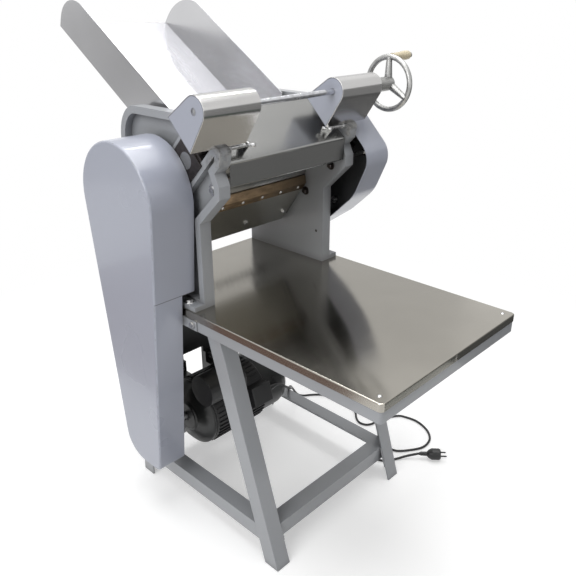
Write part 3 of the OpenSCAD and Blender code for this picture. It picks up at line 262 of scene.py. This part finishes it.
def sheet_steel(name, colour, grain, low, high, wave, turn=(0, 0, 0), streak=0.0):
    """Stainless sheet with drawn lines, smears and a slow wave.

    Streak, from 0 to 1, is how far reflections are drawn out, with the tangent along Y.
    """
    s = Shader(name, colour, low, 1.0)
    lines = s.noise(1, 1, grain, turn)
    if streak:
        across = s.node("ShaderNodeCombineXYZ")
        across.inputs["Y"].default_value = 1.0
        s.main.inputs["Anisotropic"].default_value = streak
        s.link(across.outputs[0], s.main.inputs["Tangent"])
    s.bump(s.noise(4, 1), wave)
    s.bump(lines, 0.0000008)
    smear = s.ramp(s.noise(7, 5), 0.0, 1.0, 0.1, 0.9)
    s.colour(s.mix(smear, colour, tinted(colour, 0.88)))
    shine = s.ramp(lines, low, high)
    s.rough(s.math("ADD", shine, s.ramp(s.noise(5, 6), 0.0, 0.08, 0.1, 0.9)))
    return s.material


def worked_metal(name, colour, roughness, scale=120):
    """Machined or plated metal with small changes in tone and shine."""
    s = Shader(name, colour, roughness, 1.0)
    spots = s.ramp(s.noise(scale, 4), 0.0, 1.0)
    s.colour(s.mix(spots, colour, tinted(colour, 0.72)))
    s.rough(s.ramp(s.noise(scale / 3, 3), roughness * 0.75, roughness * 1.35))
    s.bump(s.noise(scale * 6, 2), 0.00002)
    return s.material


def cast_metal(name, colour, roughness):
    """Sand-cast alloy, left rough between its rubbed ridges."""
    s = Shader(name, colour, roughness, 1.0)
    spots = s.mix(s.ramp(s.noise(60, 5), 0, 1), colour, tinted(colour, 0.7))
    # Painted shade: the alloy darkens to a third of its colour in its tight corners
    s.colour(s.mix(s.corner_shade(0.012), spots, tinted(colour, 0.35)))
    s.rough(s.ramp(s.noise(45, 4), roughness * 0.7, roughness * 1.5))
    s.bump(s.noise(420, 3), 0.00018)
    return s.material


def coating(name, colour, roughness, dust, scale=90):
    """Painted, moulded or rubber surface with a film of dust."""
    s = Shader(name, colour, roughness)
    film = s.ramp(s.noise(9, 5), 0.0, 0.5, 0.4, 0.75)
    s.colour(s.mix(film, colour, dust))
    s.rough(s.ramp(s.noise(scale / 4, 4), roughness * 0.8, roughness * 1.2))
    s.bump(s.noise(scale * 6, 3), 0.00005)
    return s.material


def old_brass():
    """Dull brass, browned and stained by flour, darker towards the drive side."""
    s = Shader("brass", (0.34, 0.23, 0.11), 0.42, 0.8)
    stain = s.ramp(s.noise(26, 6, (1, 3, 3)), 0, 1, 0.42, 0.62)
    fresh = s.mix(stain, (0.43, 0.30, 0.18), (0.25, 0.175, 0.105))
    s.colour(s.mix(s.along("X", -0.12, 0.12), fresh, (0.13, 0.095, 0.06)))
    s.rough(s.ramp(s.noise(60, 4), 0.34, 0.58))
    s.bump(s.noise(300, 3), 0.00006)
    return s.material


TABLE_GRAIN = (3, 400, 400)
CHUTE_GRAIN = (400, 3, 400)
CHUTE_TURN = (math.radians(32.8), 0, 0)
MATERIALS = {
    "paint": enamel("paint", GUARD_PAINT, 0.00001, 300, 0.28),
    "belt_paint": enamel("belt_paint", GUARD_PAINT, 0.00001, 300, 0.28, seam=GUARD_SEAM),
    "plate_paint": enamel("plate_paint", GUARD_PAINT, 0.00001, 300, 0.28, outline=0.0035),
    "frame_paint": enamel("frame_paint", FRAME_PAINT, 0.00004, 300, 0.32),
    "cast_paint": enamel("cast_paint", FRAME_PAINT, 0.00030, 130, 0.36, bare=(EAR_FRONT, EAR_TOP)),
    "table_steel": sheet_steel("table_steel", (0.435, 0.415, 0.372), TABLE_GRAIN, 0.10, 0.13, 0.0002,
                               streak=0.85),
    "chute_steel": sheet_steel("chute_steel", (0.66, 0.66, 0.675), CHUTE_GRAIN, 0.19, 0.205, 0.0003,
                               CHUTE_TURN),
    # Painted shade: the chute floor takes a darker copy of the wings' steel, so its top-lit face
    # shows darker
    "shaded_chute_floor_steel": sheet_steel("shaded_chute_floor_steel", (0.39, 0.39, 0.405), CHUTE_GRAIN, 0.225, 0.235, 0.0003,
                               CHUTE_TURN),
    "cover_steel": sheet_steel("cover_steel", (0.36, 0.36, 0.352), TABLE_GRAIN, 0.17, 0.22, 0.0003),
    "wrap_steel": sheet_steel("wrap_steel", (0.68, 0.672, 0.665), TABLE_GRAIN, 0.11, 0.15, 0.0002),
    "apron_steel": sheet_steel("apron_steel", (0.56, 0.55, 0.51), TABLE_GRAIN, 0.26, 0.34, 0.0002),
    "steel": worked_metal("steel", (0.42, 0.42, 0.43), 0.32),
    "greasy_steel": worked_metal("greasy_steel", (0.085, 0.075, 0.072), 0.34),
    # Dark grease, which also serves as painted shade on the guards' shadowed inner faces
    "grease": coating("grease", (0.075, 0.077, 0.082), 0.42, (0.11, 0.11, 0.112)),
    "zinc": worked_metal("zinc", (0.66, 0.66, 0.66), 0.28),
    "bright_shaft": worked_metal("bright_shaft", (0.74, 0.75, 0.78), 0.22),
    "brass": old_brass(),
    "motor_black": coating("motor_black", (0.006, 0.006, 0.007), 0.36, (0.016, 0.016, 0.017)),
    "rail_black": coating("rail_black", (0.022, 0.023, 0.025), 0.45, (0.05, 0.05, 0.052)),
    "motor_green": coating("motor_green", (0.011, 0.012, 0.012), 0.34, (0.030, 0.030, 0.028)),
    "black_plastic": coating("black_plastic", (0.010, 0.010, 0.011), 0.4, (0.025, 0.025, 0.025)),
    "rubber": coating("rubber", (0.010, 0.010, 0.011), 0.5, (0.025, 0.025, 0.025)),
    "alloy": cast_metal("alloy", (0.46, 0.46, 0.45), 0.38),
    "ivory": coating("ivory", (0.60, 0.53, 0.37), 0.32, (0.50, 0.43, 0.30)),
}
NODE_LOOKS = {
    "table_top": "table_steel",
    "chute_floor": "shaded_chute_floor_steel",
    "chute_wing_left": "chute_steel",
    "chute_wing_right": "chute_steel",
    "housing_wraps": "wrap_steel",
    "housing_plates": "plate_paint",
    "apron_plate": "apron_steel",
    "cross_shaft": "bright_shaft",
    "wall_left": "cast_paint",
    "wall_right": "cast_paint",
    "leg_front_left": "frame_paint",
    "leg_front_right": "frame_paint",
    "leg_rear_left": "frame_paint",
    "leg_rear_right": "frame_paint",
    "stretchers": "frame_paint",
    "table_rails": "frame_paint",
    "motor_rails": "rail_black",
    "belt_guard_clips": "frame_paint",
    # The bearing blocks' dark greasy steel also serves as painted shade inside the walls' slots
    "bearing_blocks": "greasy_steel",
    "drive_gear": "greasy_steel",
    "input_pinion": "greasy_steel",
    "fixed_roller_gear": "greasy_steel",
    "adjustable_roller_gear": "greasy_steel",
}


def look_of(node):
    slot = slot_of_node[node]
    return MATERIALS[NODE_LOOKS.get(node, "cover_steel" if slot == "stainless" else slot)]


def wear(obj, *materials):
    obj.data.materials.clear()
    for material in materials:
        obj.data.materials.append(material)


for name, obj in nodes.items():
    wear(obj, look_of(name))

# Building helpers


def add_object(name, data):
    obj = bpy.data.objects.new(name, data)
    scene.collection.objects.link(obj)
    return obj


def add_mesh(name, work, smooth=True):
    """An object from a bmesh, which is freed."""
    data = bpy.data.meshes.new(name)
    for face in work.faces:
        face.smooth = smooth
    work.to_mesh(data)
    work.free()
    return add_object(name, data)


def join_frame(obj, material):
    """Finishes a piece that adds to the machine's frame."""
    wear(obj, MATERIALS[material])
    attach(obj, "frame")


SHARP = math.radians(25)


def dressed(node, width, segments=2, pick=None):
    """A copy of a node with its sharp edges rounded, all of them or those that pick chooses."""
    work = bmesh.new()
    work.from_mesh(nodes[node].data)
    bmesh.ops.remove_doubles(work, verts=work.verts, dist=0.00002)
    bmesh.ops.dissolve_limit(work, angle_limit=math.radians(1), verts=work.verts, edges=work.edges)
    weight = work.edges.layers.float.new("bevel_weight_edge")
    for edge in work.edges:
        sharp = len(edge.link_faces) == 2 and edge.calc_face_angle(0) > SHARP
        edge[weight] = 1.0 if sharp and (pick is None or pick(edge)) else 0.0
    obj = add_mesh(node + "_dressed", work)
    obj.data.set_sharp_from_angle(angle=SHARP)
    bevel = obj.modifiers.new("rounded edges", "BEVEL")
    bevel.limit_method = "WEIGHT"
    bevel.width = width
    bevel.segments = segments
    bevel.use_clamp_overlap = pick is None
    bevel.harden_normals = True
    wear(obj, look_of(node))
    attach(obj, body_of_node[node])
    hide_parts(node)
    return obj


# Mains cord: its route in the machine's own frame, in metres
CORD_DIAMETER = 0.0075
CORD_ROUTE = [
    (0.060, 0.322, 0.273), (0.082, 0.323, 0.263), (0.105, 0.327, 0.242), (0.150, 0.349, 0.205),
    (0.190, 0.385, 0.175), (0.235, 0.440, 0.122), (0.258, 0.460, 0.109), (0.281, 0.475, 0.096),
    (0.303, 0.486, 0.072), (0.322, 0.492, 0.046), (0.344, 0.495, 0.022), (0.368, 0.492, 0.008),
    (0.394, 0.480, 0.004), (0.420, 0.454, 0.004), (0.438, 0.414, 0.004), (0.444, 0.370, 0.004),
    (0.438, 0.326, 0.004), (0.420, 0.292, 0.004), (0.396, 0.268, 0.004), (0.383, 0.244, 0.004),
    (0.389, 0.220, 0.004), (0.410, 0.208, 0.004), (0.440, 0.205, 0.004), (0.504, 0.174, 0.004),
    (0.520, 0.144, 0.004), (0.525, 0.108, 0.004), (0.515, 0.070, 0.004), (0.495, 0.038, 0.004),
    (0.464, 0.016, 0.004), (0.420, 0.012, 0.004), (0.378, 0.034, 0.004), (0.346, 0.062, 0.004),
    (0.336, 0.092, 0.004), (0.314, 0.116, 0.004), (0.284, 0.112, 0.004), (0.268, 0.086, 0.004),
    (0.282, 0.056, 0.004), (0.312, 0.040, 0.004), (0.341, 0.020, 0.010), (0.367, -0.007, 0.019)]
CORD_STEPS = 6


def spline(points, steps):
    """Points along a smooth curve through the given ones."""
    path = []
    last = len(points) - 1
    for i in range(last):
        a, b, c, d = (points[min(max(i + k, 0), last)] for k in (-1, 0, 1, 2))
        for k in range(steps):
            t = k / steps
            path.append(0.5 * (2 * b + (c - a) * t + (2 * a - 5 * b + 4 * c - d) * t ** 2
                               + (3 * b - a - 3 * c + d) * t ** 3))
    path.append(points[last])
    return path


def tubes(name, paths, radius, ripple=0.0):
    """Round tubes along paths; ripple is how far their radius swells from point to point."""
    data = bpy.data.curves.new(name, "CURVE")
    data.dimensions = "3D"
    data.bevel_depth = radius
    data.bevel_resolution = 4
    data.use_fill_caps = True
    for path in paths:
        line = data.splines.new("POLY")
        line.points.add(len(path) - 1)
        for i, (point, place) in enumerate(zip(line.points, path)):
            point.co = (*place, 1)
            point.radius = 1 + ripple * math.sin(2.4 * i)
    return add_object(name, data)


def add_cord():
    path = spline([machine(*p) for p in CORD_ROUTE], CORD_STEPS)
    cord = tubes("mains_cord", [path], CORD_DIAMETER / 2)
    join_frame(cord, "rubber")
    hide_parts("power_cord")


add_cord()

# Rounded edges, in metres
GUARD_ROUND = 0.005
CASTING_ROUND = 0.0025
BAR_ROUND = 0.0012
FITTING_ROUND = 0.0008
PLATE_ROUND = 0.0013
TABLE_ROUND = 0.003
MOTOR_ROUND = 0.003
BOX_ROUND = 0.004
SHEET_ROUND = 0.0005
BEND_ROUND = 0.004
GUARD_SHEET = 0.004
LONG_FOLD = 0.2
FOLD_ANGLE = math.radians(80)


def on_plane(axis, place):
    """Picks edges whose two ends lie on a plane."""
    return lambda edge: all(abs(v.co[axis] - place) < 0.0002 for v in edge.verts)


def guard_inside(obj, box, open_high):
    """Gives the inner faces of a box guard the second material; open_high says which end is open."""
    low, high = box
    centre = (low + high) / 2
    for face in obj.data.polygons:
        out = face.center - centre
        inward = face.normal.y * out.y + face.normal.z * out.z < 0 and abs(face.normal.x) < 0.5
        end = face.normal.x > 0.9 if open_high else face.normal.x < -0.9
        if open_high:
            deep = face.center.x < high.x - GUARD_SHEET
        else:
            deep = face.center.x > low.x + GUARD_SHEET
        face.material_index = 1 if inward or (end and deep) else 0


def dress_guards():
    low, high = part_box("belt_guard")
    belt = dressed("belt_guard", GUARD_ROUND, 4, on_plane(0, low.x))
    # The guards' inner faces take the dark grease colour: grease, and also painted shade for their
    # shadowed insides
    wear(belt, MATERIALS["belt_paint"], MATERIALS["grease"])
    guard_inside(belt, (low, high), True)
    low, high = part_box("gear_guard")
    gear = dressed("gear_guard", GUARD_ROUND, 4, on_plane(0, high.x))
    wear(gear, MATERIALS["paint"], MATERIALS["grease"])
    guard_inside(gear, (low, high), False)


dress_guards()
for name in ("wall_left", "wall_right"):
    dressed(name, CASTING_ROUND, 3)
for name in ("leg_front_left", "leg_front_right", "leg_rear_left", "leg_rear_right",
             "stretchers", "table_rails", "motor_rails", "motor_feet", "belt_guard_clips"):
    dressed(name, BAR_ROUND)
for name in ("housing_bases", "bearing_blocks", "apron_brackets"):
    dressed(name, FITTING_ROUND)
dressed("housing_plates", PLATE_ROUND, 3)
dressed("table_top", TABLE_ROUND, 4, on_plane(2, TABLE_HIGH.z))
for name in ("frame_bolts", "tie_rods", "cover_studs", "gear_guard_studs"):
    dressed(name, FITTING_ROUND)
for name in ("motor_body", "motor_end_shield", "motor_fan_cover", "capacitor_housing"):
    dressed(name, MOTOR_ROUND, 3)
dressed("terminal_box", BOX_ROUND, 3)
for name in ("chute_floor", "chute_wing_left", "chute_wing_right", "housing_wraps", "apron_plate"):
    dressed(name, SHEET_ROUND)


def is_bend(edge):
    """Picks the long folds of a sheet, not its cut edges."""
    return edge.calc_length() > LONG_FOLD and edge.calc_face_angle(0) < FOLD_ANGLE


dressed("roller_cover", BEND_ROUND, 4, is_bend)

# Small fittings: places in the machine's own frame, in metres, those of the walls as (y, z)
BOTH = (-1, 1)
WALL_INSIDE = 0.200
WALL_OUTSIDE = 0.218
WALL_BOLTS = ((0.3366, 0.8432), (0.2456, 0.9296))
WALL_BOLT_RADIUS = 0.0075
WALL_SPOT = (0.2952, 0.7336)
WASHER_T = 0.0016
WASHER_RADIUS = 0.0135
WALL_WASHERS = ((0.233, 0.948), (0.458, 1.006), (0.338, 0.790))
FOOT_X = 0.247
FOOT_YS = (0.311, 0.526)
FOOT_TOP = 0.658
WING_NUT = (0.142, 0.2027, 1.0408)
WING_LEAN = math.radians(58)


def stand(place, axis):
    """The frame of a fitting that stands on a place and points along an axis."""
    turn = Vector(axis).to_track_quat("Z", "Y").to_matrix().to_4x4()
    return Matrix.Translation(machine(*place)) @ turn


def add_disc(work, base, low, high, radius, top_radius, sides):
    """A prism or cone between two heights above its base."""
    shift = Matrix.Translation((0, 0, (low + high) / 2))
    bmesh.ops.create_cone(work, cap_ends=True, segments=sides, radius1=radius, radius2=top_radius,
                          depth=high - low, matrix=base @ shift)


def add_washer(work, base, radius):
    add_disc(work, base, 0, WASHER_T, radius, radius * 0.96, 32)


def add_bolt(work, base, radius):
    """A hex head with a chamfered top on a washer."""
    head = WASHER_T + 1.1 * radius
    add_washer(work, base, 1.6 * radius)
    add_disc(work, base, WASHER_T, 0.8 * head, radius, radius, 6)
    add_disc(work, base, 0.8 * head, head, radius, 0.8 * radius, 6)


def add_wall_bolts():
    """Dark bolts, and a dark spot below them, on the walls' inner faces."""
    work = bmesh.new()
    for side in BOTH:
        for y, z in WALL_BOLTS:
            add_bolt(work, stand((side * WALL_INSIDE, y, z), (-side, 0, 0)), WALL_BOLT_RADIUS)
        spot = stand((side * WALL_INSIDE, *WALL_SPOT), (-side, 0, 0))
        add_disc(work, spot, 0, 0.0006, 0.004, 0.0034, 24)
    join_frame(add_mesh("wall_bolts", work, False), "greasy_steel")


def add_washers():
    """Bright washers under the left wall's bolts and the bolts of both walls' feet."""
    work = bmesh.new()
    for y, z in WALL_WASHERS:
        add_washer(work, stand((-WALL_OUTSIDE, y, z), (-1, 0, 0)), WASHER_RADIUS)
    for side in BOTH:
        for y in FOOT_YS:
            add_washer(work, stand((side * FOOT_X, y, FOOT_TOP), (0, 0, 1)), WASHER_RADIUS)
    join_frame(add_mesh("washers", work, False), "zinc")


def add_wing_nuts():
    """Wing nuts that hold the cover's ears on their studs."""
    work = bmesh.new()
    x, y, z = WING_NUT
    for side in BOTH:
        base = stand((side * x, y, z), (-side, 0, 0))
        add_disc(work, base, 0, 0.006, 0.008, 0.0065, 24)
        for lean in BOTH:
            wing = Matrix.Translation((0, 0, 0.005)) @ Matrix.Rotation(lean * WING_LEAN, 4, "Y")
            add_disc(work, base @ wing, 0.002, 0.016, 0.0030, 0.0048, 12)
    join_frame(add_mesh("wing_nuts", work), "zinc")


WELD_RADIUS = 0.0024
WELD_STEPS = 16
WELD_SWELL = 0.2
# The two ends of each bead on the right side, in the machine's own frame
WELD_ENDS = (
    ((0.2575, 0.0654, 0.061), (0.2575, 0.0793, 0.103)),
    ((0.2575, 0.5378, 0.061), (0.2575, 0.5362, 0.103)),
    ((0.2150, 0.0229, 0.061), (0.2150, 0.0359, 0.103)),
    ((0.2620, 0.1870, 0.5995), (0.2620, 0.2310, 0.5995)),
)


def weld(start, end):
    """A bead between two places, its points a little off the line."""
    first, last = Vector(start), Vector(end)
    across = (last - first).cross(Vector((0.31, 0.77, 0.55))).normalized()
    path = []
    for i in range(WELD_STEPS + 1):
        drift = across * 0.0005 * math.sin(1.7 * i)
        path.append(machine(*(first.lerp(last, i / WELD_STEPS) + drift)))
    return path


def add_welds():
    """Weld beads where the stretchers and rails meet the legs, under the paint."""
    beads = []
    for side in BOTH:
        for start, end in WELD_ENDS:
            beads.append(weld((side * start[0], *start[1:]), (side * end[0], *end[1:])))
    join_frame(tubes("weld_beads", beads, WELD_RADIUS, WELD_SWELL), "frame_paint")


# The motor's fins: its axis as (y, z), and how far round from its rear they are left out
MOTOR_AXIS = (0.4305, 0.240)
MOTOR_RADIUS = 0.098
FIN_COUNT = 44
FIN_HEIGHT = 0.004
FIN_T = 0.0022
FIN_SUNK = 0.0006
FIN_ENDS = (-0.155, 0.022)
BARE_COSINE = 0.72


def add_fins():
    """Cooling fins along the motor's body, left out towards its rear."""
    work = bmesh.new()
    length = FIN_ENDS[1] - FIN_ENDS[0]
    reach = MOTOR_RADIUS + FIN_HEIGHT / 2 - FIN_SUNK
    shape = Matrix.Diagonal((length, FIN_HEIGHT, FIN_T, 1))
    for i in range(FIN_COUNT):
        turn = 2 * math.pi * i / FIN_COUNT
        if math.cos(turn) > BARE_COSINE:
            continue
        place = machine(sum(FIN_ENDS) / 2, MOTOR_AXIS[0] + reach * math.cos(turn),
                        MOTOR_AXIS[1] + reach * math.sin(turn))
        pose = Matrix.Translation(place) @ Matrix.Rotation(turn, 4, "X")
        bmesh.ops.create_cube(work, size=1.0, matrix=pose @ shape)
    join_frame(add_mesh("motor_fins", work, False), "motor_black")


add_wall_bolts()
add_washers()
add_wing_nuts()
add_welds()
add_fins()

# Studio
FLOOR_SIZE = 24.0
FLOOR_DROP = 0.0005
FLOOR_SHADE_REACH = (0.75, 1.9)
FLOOR_LIFT = 0.38
WORLD_STRENGTH = 0.25
WHITE = (1.0, 1.0, 1.0)


def white_share(tree):
    """1 for rays that see the background straight or in metal or glass."""
    ray = tree.nodes.new("ShaderNodeLightPath")
    total = ray.outputs["Is Camera Ray"]
    for name in ("Is Glossy Ray", "Is Transmission Ray"):
        either = tree.nodes.new("ShaderNodeMath")
        either.operation = "MAXIMUM"
        tree.links.new(total, either.inputs[0])
        tree.links.new(ray.outputs[name], either.inputs[1])
        total = either.outputs[0]
    return total


def add_floor():
    """White floor that keeps the shadow near the machine and turns plain white away from it."""
    mesh = bpy.data.meshes.new("floor")
    half = FLOOR_SIZE / 2
    corners = [(-half, -half, 0), (half, -half, 0), (half, half, 0), (-half, half, 0)]
    mesh.from_pydata(corners, [], [(0, 1, 2, 3)])
    floor = add_object("floor", mesh)
    floor.location.z = -FLOOR_DROP
    s = Shader("floor", (0.80, 0.80, 0.80), 0.8)
    far = s.node("ShaderNodeVectorMath", operation="LENGTH")
    s.link(s.coords, far.inputs[0])
    away = s.ramp(far.outputs["Value"], 0, 1, *FLOOR_SHADE_REACH)
    glow = s.node("ShaderNodeEmission")
    glow.inputs["Color"].default_value = (*WHITE, 1)
    mix = s.node("ShaderNodeMixShader")
    s.link(s.math("MULTIPLY", away, white_share(s.tree)), mix.inputs["Fac"])
    s.main.inputs["Emission Color"].default_value = (*WHITE, 1)
    s.link(s.math("MULTIPLY", white_share(s.tree), FLOOR_LIFT), s.main.inputs["Emission Strength"])
    s.link(s.main.outputs[0], mix.inputs[1])
    s.link(glow.outputs[0], mix.inputs[2])
    s.link(mix.outputs[0], s.tree.nodes["Material Output"].inputs["Surface"])
    wear(floor, s.material)


def add_world():
    world = bpy.data.worlds.new("studio")
    scene.world = world
    world.use_nodes = True
    tree = world.node_tree
    plain = tree.nodes["Background"]
    plain.inputs["Color"].default_value = (*WHITE, 1)
    plain.inputs["Strength"].default_value = WORLD_STRENGTH
    shown = tree.nodes.new("ShaderNodeBackground")
    shown.inputs["Color"].default_value = (*WHITE, 1)
    shown.inputs["Strength"].default_value = 1.0
    mix = tree.nodes.new("ShaderNodeMixShader")
    tree.links.new(white_share(tree), mix.inputs["Fac"])
    tree.links.new(plain.outputs[0], mix.inputs[1])
    tree.links.new(shown.outputs[0], mix.inputs[2])
    tree.links.new(mix.outputs[0], tree.nodes["World Output"].inputs["Surface"])


def add_lamp(name, place, target, size, power):
    data = bpy.data.lights.new(name, "AREA")
    data.shape = "RECTANGLE"
    data.size, data.size_y = size
    data.energy = power
    lamp = add_object(name, data)
    lamp.location = machine(*place)
    aim = machine(*target) - lamp.location
    lamp.rotation_euler = aim.to_track_quat("-Z", "Y").to_euler()


def grey(level):
    return (level, level, level)


def add_card(name, place, target, size, shade):
    """A card that only shows in reflections, as a studio uses to give metal its tones."""
    work = bmesh.new()
    bmesh.ops.create_grid(work, x_segments=1, y_segments=1, size=0.5)
    bmesh.ops.scale(work, vec=(*size, 1), verts=work.verts)
    card = add_mesh(name, work)
    card.location = machine(*place)
    aim = machine(*target) - card.location
    card.rotation_euler = aim.to_track_quat("Z", "Y").to_euler()
    s = Shader(name, (0, 0, 0), 1.0)
    s.main.inputs["Emission Color"].default_value = (*shade, 1)
    s.main.inputs["Emission Strength"].default_value = 1.0
    s.main.inputs["Specular IOR Level"].default_value = 0.0
    wear(card, s.material)
    card.visible_camera = False
    card.visible_diffuse = False
    card.visible_shadow = False


add_floor()
add_world()
MIDDLE = (0, 0.3, 0.7)
add_lamp("key", (-2.9, -0.2, 2.4), MIDDLE, (2.2, 2.2), 56)
add_lamp("top", (0.0, 0.2, 3.8), (0, 0.2, 0), (3.0, 3.0), 105)
add_lamp("strip", (1.55, 1.4, 3.4), (0, 0.3, 1.0), (1.6, 0.08), 9)
add_lamp("fill", (0.4, -3.2, 1.4), MIDDLE, (2.0, 2.0), 7)
add_card("card_back", (2.6, 2.4, 1.5), (0, 0.1, 0.9), (2.4, 2.6), grey(0.78))
add_card("card_back_left", (-2.4, 3.6, 0.55), (0, 0.7, 0.55), (2.8, 1.1), grey(0.45))
add_card("card_front_low", (1.8, -1.1, 0.75), (0, 0.2, 1.0), (2.6, 1.5), grey(0.25))
add_card("card_front_high", (1.9, -0.9, 2.4), (0, 0.2, 1.0), (2.2, 1.8), grey(0.85))
add_card("card_floor_front", (1.3, -1.7, 0.02), (1.3, -1.7, 1.0), (1.9, 1.8), (0.085, 0.10, 0.09))
add_card("card_floor_left", (-1.5, 1.2, 0.02), (-1.5, 1.2, 1.0), (1.6, 1.8), (0.26, 0.185, 0.165))
add_card("card_floor_right", (1.7, -0.4, 0.02), (1.7, -0.4, 1.0), (1.5, 1.2), grey(0.11))
